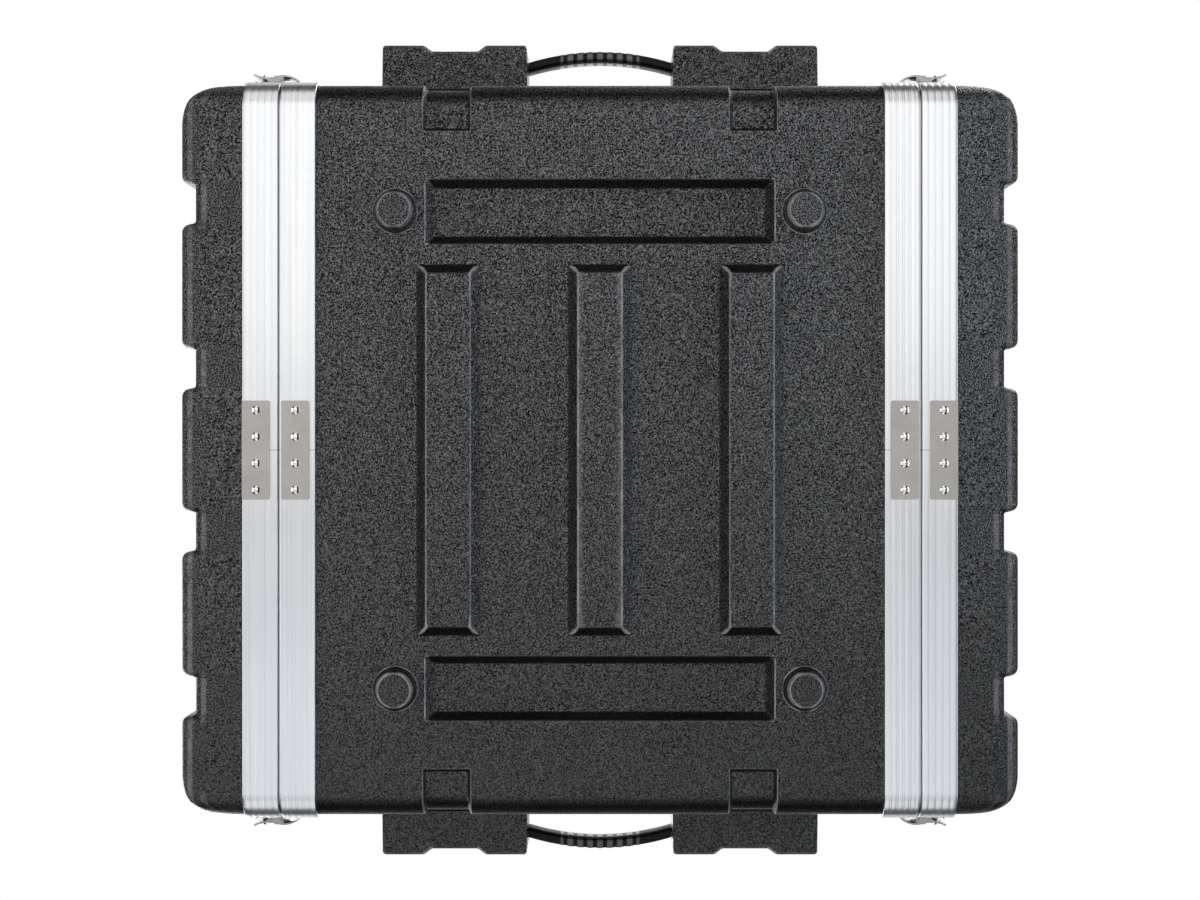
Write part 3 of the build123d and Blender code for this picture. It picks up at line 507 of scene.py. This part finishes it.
def lines(low, high, step, *fine):
    """Sorted grid lines: an even spacing plus the fine ones that fall inside."""
    least_gap = 0.1 * MM
    count = max(2, int(round((high - low) / step)) + 1)
    values = list(np.linspace(low, high, count))
    extra = [value for group in fine for value in group if low < value < high]
    merged = np.unique(np.round(np.array(values + extra), 6))
    keep = [merged[0]]
    for value in merged[1:-1]:
        if value - keep[-1] >= least_gap:
            keep.append(value)
    return np.array(keep + [merged[-1]])


def around(edge, slope, soft):
    """Grid lines across one sloping, soft-edged side that rises inward from an edge."""
    stations = (-soft, -soft / 2, 0, soft / 2, soft, slope / 2,
                slope - soft, slope - soft / 2, slope, slope + soft / 2, slope + soft)
    return [edge + station for station in stations]


def both(values):
    """The values and their mirror images."""
    values = list(values)
    return values + [-value for value in values]


# ---------------------------------------------------------------- body shells
# The section is followed by its length from the bottom (or top) centre: flat, corner, side.
CORNER_START = HALF_WIDTH - CORNER
CORNER_END = CORNER_START + CORNER * math.pi / 2
SIDE_END = CORNER_END + HALF_HEIGHT - CORNER - HALF_GAP
RECESS_END = CORNER_END + RECESS_RISE
LUG_START = CORNER_END + HALF_HEIGHT - CORNER - LUG_HALF_HEIGHT
LINE_STEP = 13.0 * MM
QUARTER_STEPS = (0, 22, 45, 67, 90)


def section_point(length):
    """Point (x, z below the middle) and outward normal at a length round the section."""
    size, sign = np.abs(length), np.sign(length)
    angle = np.clip((size - CORNER_START) / CORNER, 0, math.pi / 2)
    x = np.minimum(size, CORNER_START) + CORNER * np.sin(angle)
    rise = np.clip(size - CORNER_END, 0, None)
    z = -HALF_HEIGHT + CORNER * (1 - np.cos(angle)) + rise
    return sign * x, z, sign * np.sin(angle), -np.cos(angle)


def rectangle_depth(s, y, centre, half, corner):
    """Distance inside a rectangle with soft corners."""
    return soft_min(half[0] - np.abs(s - centre[0]), half[1] - np.abs(y - centre[1]), corner)


def lug_relief(s, y, inset):
    """Box-like lug with round top edges and a shallow notch across it."""
    along = LUG_HALF_LENGTH - np.abs(np.abs(y) - LUG_Y) - inset
    across = np.abs(s) - LUG_START - inset
    depth = np.minimum(along, across)
    notch = ramp(np.abs(np.abs(y) - LUG_Y) - NOTCH_HALF_FLAT, NOTCH_SLOPE, SOFT)
    top = LUG_RISE - NOTCH_DEPTH * (1 - notch)
    wall = np.clip(depth / LUG_WALL, 0, 1) * (top - LUG_EDGE)
    turn = np.clip((depth - LUG_WALL) / LUG_EDGE, 0, 1)
    return wall + LUG_EDGE * np.sqrt(1 - (1 - turn) ** 2)


def recess_relief(s, y, inset):
    """Four sunk squares that run into the round lower edges."""
    centre = (RECESS_START + RECESS_END) / 2
    shift = inset * DRAFT_SHARE
    half = ((RECESS_END - RECESS_START) / 2 + shift, RECESS_HALF_WIDTH + shift)
    depth = rectangle_depth(np.abs(s), np.abs(y), (centre, RECESS_Y), half, RECESS_CORNER)
    return -RECESS_DEPTH * ramp(depth, RECESS_SLOPE, RECESS_SOFT)


def strip_relief(s, y, inset, height, slope):
    """Three strips, raised or sunk."""
    step = np.clip(np.round(y / STRIP_PITCH), -1, 1) * STRIP_PITCH
    size = [half - np.sign(height) * inset * DRAFT_SHARE for half in STRIP_HALF]
    depth = rectangle_depth(s, y - step, (0, 0), size, RELIEF_CORNER)
    return height * ramp(depth, slope, SOFT)


def lower_relief(s, y, inset):
    """Underside: raised strips, sunk panels and edge recesses, and the lugs' lower halves."""
    half = [side + inset * DRAFT_SHARE for side in PANEL_HALF]
    panel = rectangle_depth(np.abs(s), y, (PANEL_X, 0), half, RELIEF_CORNER)
    height = strip_relief(s, y, inset, STRIP_HEIGHT, STRIP_SLOPE)
    height = height - PANEL_DEPTH * ramp(panel, PANEL_SLOPE, SOFT)
    return height + recess_relief(s, y, inset) + lug_relief(s, y, inset)


def upper_relief(s, y, inset):
    """Top: channels and seats for the strips and feet of a case stacked above."""
    height = strip_relief(s, y, inset, -SEAT_DEPTH, SEAT_DEPTH)
    seat = SEAT_RADIUS - np.hypot(np.abs(s) - FOOT_X, np.abs(y) - FOOT_Y)
    return height - SEAT_DEPTH * ramp(seat, SEAT_SLOPE, SEAT_SOFT) + lug_relief(s, y, inset)


def lug_lines(edge, sign):
    """Grid lines across a lug's steep side, for the outer and the inner face."""
    before = 0.6 * MM
    turns = [LUG_WALL + LUG_EDGE * (1 - math.cos(math.radians(a))) for a in QUARTER_STEPS]
    stations = [-before, 0] + turns
    return [edge + sign * (station + inset) for inset in (0, WALL) for station in stations]


def half_shell(relief, s_fine, y_fine):
    """One half of the body: its outer and inner faces from the relief, closed into a wall."""
    corner = np.linspace(CORNER_START, CORNER_END, 15)
    s_lines = lines(-SIDE_END, SIDE_END, LINE_STEP, both(corner),
                    both(lug_lines(LUG_START, 1)), both(s_fine))
    notch = [LUG_Y + side * value for side in (-1, 1)
             for value in around(NOTCH_HALF_FLAT, NOTCH_SLOPE, SOFT)]
    ends = lug_lines(LUG_Y - LUG_HALF_LENGTH, 1) + lug_lines(LUG_Y + LUG_HALF_LENGTH, -1)
    y_lines = lines(-BODY_END, BODY_END, LINE_STEP, both(notch), both(ends), both(y_fine))
    s, y = np.meshgrid(s_lines, y_lines, indexing="ij")
    x, z, normal_x, normal_z = section_point(s)
    sheets = []
    for inset in (0.0, WALL):
        rise = relief(s, y, inset) - inset
        sheets.append(np.stack([x + normal_x * rise, y, MID_Z + z + normal_z * rise], axis=-1))
    return closed_sheet(*sheets)


def foot_part(x, y):
    """Round foot: drafted side, soft tip, and a small skirt that meets the underside."""
    flat = [(FOOT_TIP_RADIUS * share, 0) for share in (0.4, 0.7, 0.82)]
    tip = [(FOOT_TIP_RADIUS - FOOT_SOFT * (1 - math.sin(a)), FOOT_SOFT * (1 - math.cos(a)))
           for a in np.radians(QUARTER_STEPS)]
    flare = [(-0.1 * MM, -1.2 * MM), (0.3 * MM, -0.35 * MM),
             (1.2 * MM, 0.05 * MM), (1.0 * MM, 1.5 * MM)]
    skirt = [(FOOT_BASE_RADIUS + out, FOOT_HEIGHT + up) for out, up in flare]
    profile = [(0, 0)] + flat + tip + skirt + [(0, skirt[-1][1])]
    return lathe(profile, (x, y))


def strip_sides(slope):
    """Grid lines across the long sides of the strips, on the +Y half."""
    return [row * STRIP_PITCH + side * value for row in (0, 1) for side in (-1, 1)
            for value in around(STRIP_HALF[1], -slope, SOFT)]


def lower_shell():
    """Lower half shell with its four feet."""
    recess_y = [RECESS_Y + side * value for side in (-1, 1)
                for value in around(RECESS_HALF_WIDTH, -RECESS_SLOPE, RECESS_SOFT)]
    s_fine = (around(STRIP_HALF[0], -STRIP_SLOPE, SOFT)
              + around(PANEL_X - PANEL_HALF[0], PANEL_SLOPE, SOFT)
              + around(PANEL_X + PANEL_HALF[0], -PANEL_SLOPE, SOFT)
              + around(RECESS_START, RECESS_SLOPE, RECESS_SOFT)
              + around(RECESS_END, -RECESS_SLOPE, RECESS_SOFT))
    y_fine = strip_sides(STRIP_SLOPE) + around(PANEL_HALF[1], -PANEL_SLOPE, SOFT) + recess_y
    feet = [foot_part(side * FOOT_X, end * FOOT_Y) for side in (-1, 1) for end in (-1, 1)]
    return [half_shell(lower_relief, s_fine, y_fine)] + feet


def upper_shell():
    """Upper half shell, drawn like the lower one and mirrored."""
    seat = np.linspace(-SEAT_RADIUS - 1.0 * MM, SEAT_RADIUS + 1.0 * MM, 33)
    s_fine = around(STRIP_HALF[0], -SEAT_DEPTH, SOFT) + list(FOOT_X + seat)
    y_fine = strip_sides(SEAT_DEPTH) + list(FOOT_Y + seat)
    return [mirrored(half_shell(upper_relief, s_fine, y_fine), 2, MID_Z)]


def build_body():
    piece("lower_shell_moulding", lower_shell(), ABS, "case", ["lower_shell"])
    piece("upper_shell_moulding", upper_shell(), ABS, "case", ["upper_shell"])


# ---------------------------------------------------------------- lid shells
def round_rectangle(a, b, half_a, half_b, radius):
    """Signed distance to a rectangle with round corners, negative inside."""
    da, db = np.abs(a) - half_a + radius, np.abs(b) - half_b + radius
    outside = np.hypot(np.clip(da, 0, None), np.clip(db, 0, None))
    return outside + np.minimum(np.maximum(da, db), 0) - radius


def lid_block(x, y, z, end):
    """Signed distance to the lid's rounded form with a given end."""
    form = soft_max(round_rectangle(x, z, HALF_WIDTH, HALF_HEIGHT, CORNER),
                    round_rectangle(x, y, HALF_WIDTH, end, LID_PLAN_RADIUS), LID_BLEND)
    return soft_max(form, round_rectangle(y, z, end, HALF_HEIGHT, LID_EDGE_RADIUS), LID_BLEND)


def lid_distance(x, y, z):
    """Signed distance to the grooved lid."""
    floor = LID_END - GROOVE_DEPTH
    nearest = np.min([np.abs(x - centre) for centre in GROOVE_X], axis=0)
    column = nearest - GROOVE_HALF - GROOVE_FLARE * np.clip(y - floor, 0, None)
    column = column / math.hypot(1, GROOVE_FLARE)
    blocks = soft_max(lid_block(x, y, z, LID_END), -column, GROOVE_MOUTH)
    return soft_min(blocks, lid_block(x, y, z, floor), GROOVE_ROOT)


def project_lid(points, inset):
    """Push points of a box out from a core until they lie on the lid's surface."""
    core = np.array([HALF_WIDTH, LID_END, HALF_HEIGHT]) - LID_CORE_MARGIN
    base = points.copy()
    base[..., 0] = np.clip(points[..., 0], -core[0], core[0])
    base[..., 1] = np.minimum(points[..., 1], core[1])
    base[..., 2] = np.clip(points[..., 2], -core[2], core[2])
    way = points - base
    way /= np.linalg.norm(way, axis=-1, keepdims=True)
    low = np.zeros(points.shape[:-1])
    high = np.full(points.shape[:-1], LID_REACH)
    for _ in range(LID_HALVINGS):
        middle = (low + high) / 2
        at = base + way * middle[..., None]
        inside = lid_distance(at[..., 0], at[..., 1], at[..., 2]) + inset < 0
        low = np.where(inside, middle, low)
        high = np.where(inside, high, middle)
    out = base + way * low[..., None]
    out[..., 2] += MID_Z
    return out


def lid_patches(x_lines, y_lines, z_lines):
    """The five sides of the lid's box: bottom, end and top in one strip, then two sides."""
    path = ([(y, -HALF_HEIGHT) for y in y_lines] + [(LID_END, z) for z in z_lines[1:-1]]
            + [(y, HALF_HEIGHT) for y in y_lines[::-1]])
    strip = np.array([[(x, y, z) for x in x_lines] for y, z in path])
    sides = [np.array([[(x, y, z) for z in z_lines] for y in y_lines])
             for x in (-HALF_WIDTH, HALF_WIDTH)]
    return strip, sides


def weld(points, faces, gap=3e-5):
    """Join points that coincide within a small gap, and drop faces that collapse."""
    keys = np.round(points / gap).astype(np.int64)
    _, first, index = np.unique(keys, axis=0, return_index=True, return_inverse=True)
    index = index.ravel()
    merged = []
    for face in faces:
        ring = [int(index[i]) for i in face]
        ring = [a for a, b in zip(ring, ring[1:] + ring[:1]) if a != b]
        if len(set(ring)) >= 3:
            merged.append(tuple(ring))
    return points[first], merged


def lid_grid():
    """Grid lines of the lid's box, closer together at its round edges and grooves."""
    edge = np.linspace(-44.0 * MM, 0, 16)
    groove = [centre + side * (GROOVE_HALF + offset) for centre in GROOVE_X for side in (-1, 1)
              for offset in np.linspace(-3.0 * MM, 6.5 * MM, 14)]
    x_lines = lines(-HALF_WIDTH, HALF_WIDTH, 9.0 * MM, both(HALF_WIDTH + edge), groove)
    y_lines = lines(LID_START, LID_END, 5.0 * MM, LID_END + edge)
    z_lines = lines(-HALF_HEIGHT, HALF_HEIGHT, 9.0 * MM, both(HALF_HEIGHT + edge))
    return x_lines, y_lines, z_lines


def lid_rim(x_count, y_count, z_count, strip_rows):
    """Indices round the lid's open edge: bottom, right, top, left."""
    side_start = strip_rows * x_count
    side_size = y_count * z_count
    return (list(range(x_count)) + [side_start + side_size + k for k in range(z_count)]
            + [(strip_rows - 1) * x_count + k for k in range(x_count - 1, -1, -1)]
            + [side_start + k for k in range(z_count - 1, -1, -1)])


def lid_shell():
    """Closed wall of the rear lid."""
    grid = lid_grid()
    strip, sides = lid_patches(*grid)
    points, faces, start = [], [], 0
    for inset in (0.0, WALL):
        for patch in (strip, *sides):
            faces += grid_faces(*patch.shape[:2], start)
            points.append(project_lid(patch, inset).reshape(-1, 3))
            start += len(points[-1])
    rim = lid_rim(*map(len, grid), len(strip))
    half = start // 2
    for here, there in zip(rim, rim[1:] + rim[:1]):
        faces.append((here, there, there + half, here + half))
    return weld(np.concatenate(points), faces)


def build_lids():
    """Both lids; the front one is the rear one mirrored."""
    rear = lid_shell()
    piece("rear_lid_moulding", [rear], LID_ABS, "rear_lid", ["rear_lid_shell"])
    piece("front_lid_moulding", [mirrored(rear, 1)], LID_ABS, "front_lid",
          ["front_lid_shell"])


# ---------------------------------------------------------------- aluminium frames
def ring_path(steps=22):
    """Stations round the section: corner centre and outward direction, from the butt joint on."""
    flat_x, flat_z = HALF_WIDTH - CORNER, HALF_HEIGHT - CORNER
    stations = [((BUTT_GAP, -flat_z), (0.0, -1.0))]
    corners = ((flat_x, -flat_z, -90), (flat_x, flat_z, 0),
               (-flat_x, flat_z, 90), (-flat_x, -flat_z, 180))
    for x, z, start in corners:
        for step in range(steps + 1):
            angle = math.radians(start + 90 * step / steps)
            stations.append(((x, z), (math.cos(angle), math.sin(angle))))
    stations.append(((-BUTT_GAP, -flat_z), (0.0, -1.0)))
    return stations


def swept_ring(profile):
    """Sweep a closed (offset, y) outline round the section, with capped ends."""
    points, count = [], len(profile)
    stations = ring_path()
    for (x, z), (dx, dz) in stations:
        for offset, y in profile:
            reach = CORNER + offset
            points.append((x + dx * reach, y, MID_Z + z + dz * reach))
    faces = []
    for ring in range(len(stations) - 1):
        for k in range(count):
            a, b = ring * count + k, ring * count + (k + 1) % count
            faces.append((a, b, b + count, a + count))
    faces.append(tuple(range(count)))
    faces.append(tuple(range((len(stations) - 1) * count, len(stations) * count)))
    return points, faces


def fluted_face(start, end, grooves, depth, half_width):
    """Outer face of a band, with soft round flutes at the given distances and rounded edges."""
    length = end - start
    rounding = [(BAND_PROUD - FRAME_EDGE, 0.0), (BAND_PROUD - FRAME_EDGE * 0.3, FRAME_EDGE * 0.3),
                (BAND_PROUD, FRAME_EDGE)]
    outline = list(rounding)
    for groove in grooves:
        for turn in (-1.0, -0.6, -0.3, 0.0, 0.3, 0.6, 1.0):
            dip = depth * (0.5 + 0.5 * math.cos(math.pi * turn))
            outline.append((BAND_PROUD - dip, groove + half_width * turn))
    outline += [(offset, length - distance) for offset, distance in rounding[::-1]]
    return [(offset, start + distance) for offset, distance in outline]


def body_frame_profile():
    """Outline of the rear body frame: fluted band, slot for the shell, inner leg, tongue."""
    face = BODY_FACE
    far = face - BAND_WIDTH
    leg_end = face - BODY_LEG_LENGTH
    tongue_out, tongue_in, tongue_root, tongue_length = TONGUE
    band = fluted_face(far, face, BODY_FLUTES, *BODY_FLUTE)
    tongue = [(-SEAM, face), (-tongue_out, face + tongue_length),
              (-tongue_in, face + tongue_length), (-tongue_root, face)]
    leg = [(-LEG_OUT, face), (-LEG_OUT, leg_end), (-LEG_IN, leg_end), (-LEG_IN, face - BODY_WEB)]
    return band + tongue + leg + [(FIT, face - BODY_WEB), (FIT, far)]


def lid_frame_profile():
    """Outline of the rear lid frame: fluted band, inner leg, groove for the tongue."""
    face = LID_FRAME_LOW.y
    far = face + BAND_WIDTH
    web, back = (face + distance for distance in LID_WEB)
    leg_end = face + LID_LEG_LENGTH
    band = fluted_face(face, far, LID_FLUTES, *LID_FLUTE)
    leg = [(-LEG_IN, back), (-LEG_IN, leg_end), (-LEG_OUT, leg_end), (-LEG_OUT, face)]
    groove = [(-LID_GROOVE_INNER, face), (-LID_GROOVE_INNER, web), (FIT, web), (FIT, face)]
    return band + [(FIT, far), (FIT, back)] + leg + groove


def build_frames():
    """Two body frames on the case and one on each lid; the front ones are mirrored."""
    for kind, profile in (("body", body_frame_profile()), ("lid", lid_frame_profile())):
        ring = swept_ring(profile)
        for end, part in (("rear", ring), ("front", mirrored(ring, 1))):
            owner = "case" if kind == "body" else f"{end}_lid"
            piece(f"{end}_{kind}_extrusion", [part], ALUMINIUM, owner,
                  [f"{end}_{kind}_frame"], sharp_from=60.0)


# ---------------------------------------------------------------- handles
def grip_dip(y):
    """How far the grip's surface lies below the tops of its pads."""
    pad = 0.5 + 0.5 * math.cos(2 * math.pi * y / PAD_PITCH)
    among_pads = float(np.clip((PADS_END - abs(y)) / PAD_FADE, 0, 1))
    return PAD_RELIEF * (among_pads * (1 - pad ** 0.6) + (1 - among_pads) * 0.6)


def squared(value):
    """Push a sine or cosine outward, so that an oval comes nearer to a rounded rectangle."""
    return math.copysign(abs(value) ** GRIP_SQUARENESS, value)


def grip_ring(y, radius, steps):
    """Oval section of the grip at one station along the arch."""
    dip = grip_dip(y)
    half_thickness = GRIP_THICKNESS / 2 - dip
    half_height = (GRIP_HIGH.z - GRIP_LOW.z) / 2 - dip
    bow = math.sqrt(radius**2 - y**2) - radius + GRIP_RISE
    middle = GRIP_LOW.x + GRIP_THICKNESS / 2 + bow
    turns = [2 * math.pi * k / steps for k in range(steps)]
    return [(middle + squared(math.cos(turn)) * half_thickness, y,
             MID_Z + squared(math.sin(turn)) * half_height) for turn in turns]


def build_handles():
    """Ribbed grips: an oval section carried along the arch, with soft pads over its middle."""
    half_length = GRIP_HIGH.y
    radius = (half_length**2 + GRIP_RISE**2) / (2 * GRIP_RISE)
    stations = np.unique(np.concatenate([
        np.linspace(-half_length, half_length, 41), np.linspace(-PADS_END, PADS_END, 141)]))
    steps = 36
    points = [point for y in stations for point in grip_ring(y, radius, steps)]
    faces = []
    for row in range(len(stations) - 1):
        for k in range(steps):
            a, b = row * steps + k, row * steps + (k + 1) % steps
            faces.append((a, b, b + steps, a + steps))
    faces.append(tuple(range(steps)))
    faces.append(tuple(range(len(points) - steps, len(points))))
    right = (points, faces)
    for side, part in (("right", right), ("left", mirrored(right, 0))):
        piece(f"{side}_ribbed_grip", [part], GRIP_RUBBER, f"{side}_handle",
              [f"{side}_handle_grip"])


# ---------------------------------------------------------------- CAD nodes that stay
def dress(names, material, bevel=0.0):
    """Give CAD nodes a material, and soften their edges where a width is given."""
    for name in names:
        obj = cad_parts[name]
        obj.data.materials.clear()
        obj.data.materials.append(material)
        if bevel:
            joined = obj.modifiers.new("join", "WELD")
            joined.merge_threshold = 0.01 * MM
            edge = obj.modifiers.new("edge", "BEVEL")
            edge.width = bevel
            edge.segments = 2
            edge.limit_method = "ANGLE"
            edge.angle_limit = math.radians(40)


def dress_hardware():
    """Metal, coated and foam parts that keep their CAD shape."""
    ends, sides = ("front", "rear"), ("left", "right")
    latches = [f"{end}_{side}_{level}_{kind}" for end in ends for side in sides
               for level in ("lower", "upper") for kind in ("lever", "claw")]
    latches += [f"{end}_{name}" for end in ends for name in ("keepers", "latch_bases")]
    plates = [f"{end}_{kind}_joint_plate" for end in ends for kind in ("body", "lid")]
    dress(plates, PLATE_STEEL, 0.25 * MM)
    dress(["body_frame_rivets", "front_lid_rivets", "rear_lid_rivets", "join_rivets"], RIVET)
    dress(latches, ZINC, 0.2 * MM)
    dress([f"{end}_{name}" for end in ends for name in ("latch_pins", "padlock_staples")], ZINC)
    dress([f"{end}_{side}_rail" for end in ends for side in sides], RAIL_COAT, 0.3 * MM)
    dress([f"{side}_join_strip" for side in sides], ALUMINIUM, 0.2 * MM)
    dress(["rail_bolts", "rail_nuts", "bracket_screws", "handle_pins"], DARK_STEEL)
    dress(["handle_brackets", "left_handle_core", "right_handle_core"], DARK_STEEL, 0.4 * MM)
    dress([f"{end}_lid_seal" for end in ends], SEAL_FOAM)


# ---------------------------------------------------------------- stage, lights and camera
# Each panel: name, place, turn in degrees, size, radiance, colour.
PANELS = (
    ("back_panel_upper", (1.12, 0.0, -2.6), (180, 0, 0), (2.3, 3.4), 1.02, (1.0, 1.0, 0.995)),
    ("back_panel_lower", (-0.83, 0.0, -2.6), (180, 0, 0), (1.0, 3.4), 0.80, COOL),
    ("back_panel_foot", (-1.85, 0.0, -2.6), (180, 0, 0), (1.0, 3.4), 0.62, COOL),
    ("far_panel_upper", (2.94, -0.2, -1.56), (180, -62, 0), (2.2, 3.0), 0.74, WHITE),
    ("far_panel_lower", (-2.94, -0.2, -1.56), (180, 62, 0), (2.2, 3.0), 0.74, (0.97, 0.985, 1.0)),
    ("edge_panel_upper", (1.9, 0.0, 2.0), (0, 43, 0), (2.0, 3.0), 0.55, WHITE),
    ("edge_panel_lower", (-1.9, 0.0, 2.0), (0, -43, 0), (2.0, 3.0), 0.55, WHITE),
    ("left_panel", (0.1, -2.05, -1.0), (116, 0, 0), (2.8, 2.0), 1.1, (1.0, 0.99, 0.97)),
    ("right_panel", (0.1, 1.8, -0.34), (-95, 0, 0), (2.2, 0.64), 2.4, (0.80, 0.87, 1.0)),
    ("key_above", (-1.2, -1.6, 2.2), (40, -28, 0), (1.8, 1.8), 4.0, (1.0, 0.99, 0.98)),
    ("rim_above", (1.6, 1.4, 1.6), (-40, 45, 0), (1.4, 1.4), 4.0, (0.95, 0.97, 1.0)),
)


def one_sided_floor():
    """Pale floor that is clear from below, so that the underside can be seen."""
    n = Nodes("pale_floor")
    tone = n.noise(3.0, 3.0, 0.5)
    colour = n.blend(tone, (0.60, 0.60, 0.60), (0.65, 0.65, 0.65))
    n.finish(Base_Color=colour, Roughness=0.8)
    tree = n.tree
    behind = n.add("ShaderNodeNewGeometry").outputs["Backfacing"]
    clear = tree.nodes.new("ShaderNodeBsdfTransparent")
    mix = tree.nodes.new("ShaderNodeMixShader")
    tree.links.new(behind, mix.inputs[0])
    tree.links.new(n.shader.outputs[0], mix.inputs[1])
    tree.links.new(clear.outputs[0], mix.inputs[2])
    tree.links.new(mix.outputs[0], tree.nodes["Material Output"].inputs["Surface"])
    mesh = bpy.data.meshes.new("floor")
    corners = [(x * FLOOR_HALF, y * FLOOR_HALF, -FLOOR_DROP)
               for x, y in ((-1, -1), (1, -1), (1, 1), (-1, 1))]
    mesh.from_pydata(corners, [], [(0, 1, 2, 3)])
    mesh.materials.append(n.material)
    floor = bpy.data.objects.new("floor", mesh)
    bpy.context.scene.collection.objects.link(floor)
    floor.visible_shadow = floor.visible_diffuse = floor.visible_glossy = False


def area_light(name, place, turn, size, radiance, colour):
    """Soft panel of a given brightness; unturned it shines down, its size is along X and Y."""
    light = bpy.data.lights.new(name, "AREA")
    light.shape = "RECTANGLE"
    light.size, light.size_y = size
    light.energy = radiance * 4 * size[0] * size[1]
    light.color = colour
    obj = bpy.data.objects.new(name, light)
    obj.location = place
    obj.rotation_euler = [math.radians(angle) for angle in turn]
    obj.visible_camera = False
    bpy.context.scene.collection.objects.link(obj)


def overhead_sun():
    """Broad even light from straight above, which keeps the far floor pale."""
    light = bpy.data.lights.new("overhead_sun", "SUN")
    light.energy = 1.0
    light.angle = math.radians(50)
    sun = bpy.data.objects.new("overhead_sun", light)
    sun.location = (0, 0, 3)
    bpy.context.scene.collection.objects.link(sun)


def build_world():
    """Dim pale surroundings, white where the camera looks straight at them."""
    world = bpy.data.worlds.new("studio")
    bpy.context.scene.world = world
    world.use_nodes = True
    tree = world.node_tree
    background = tree.nodes["Background"]
    background.inputs["Color"].default_value = WORLD_COLOUR
    background.inputs["Strength"].default_value = WORLD_STRENGTH
    white = tree.nodes.new("ShaderNodeBackground")
    white.inputs["Color"].default_value = (*WHITE, 1.0)
    seen = tree.nodes.new("ShaderNodeLightPath").outputs["Is Camera Ray"]
    mix = tree.nodes.new("ShaderNodeMixShader")
    tree.links.new(seen, mix.inputs[0])
    tree.links.new(background.outputs[0], mix.inputs[1])
    tree.links.new(white.outputs[0], mix.inputs[2])
    tree.links.new(mix.outputs[0], tree.nodes["World Output"].inputs["Surface"])


def build_stage():
    one_sided_floor()
    for panel in PANELS:
        area_light(*panel)
    overhead_sun()
    build_world()
    bpy.context.scene.view_settings.view_transform = "Standard"


def build_camera():
    """Straight up at the underside, with the rear lid to the right and +X at the top."""
    data = bpy.data.cameras.new("camera")
    data.lens = CAMERA_LENS
    data.clip_start, data.clip_end = 0.05, 30.0
    camera = bpy.data.objects.new("camera", data)
    camera.location = (0, 0, FOOT_HEIGHT - CAMERA_DISTANCE)
    camera.rotation_euler = (math.pi, 0, math.pi / 2)
    bpy.context.scene.collection.objects.link(camera)
    bpy.context.scene.camera = camera


build_body()
build_lids()
build_frames()
build_handles()
dress_hardware()
build_stage()
build_camera()
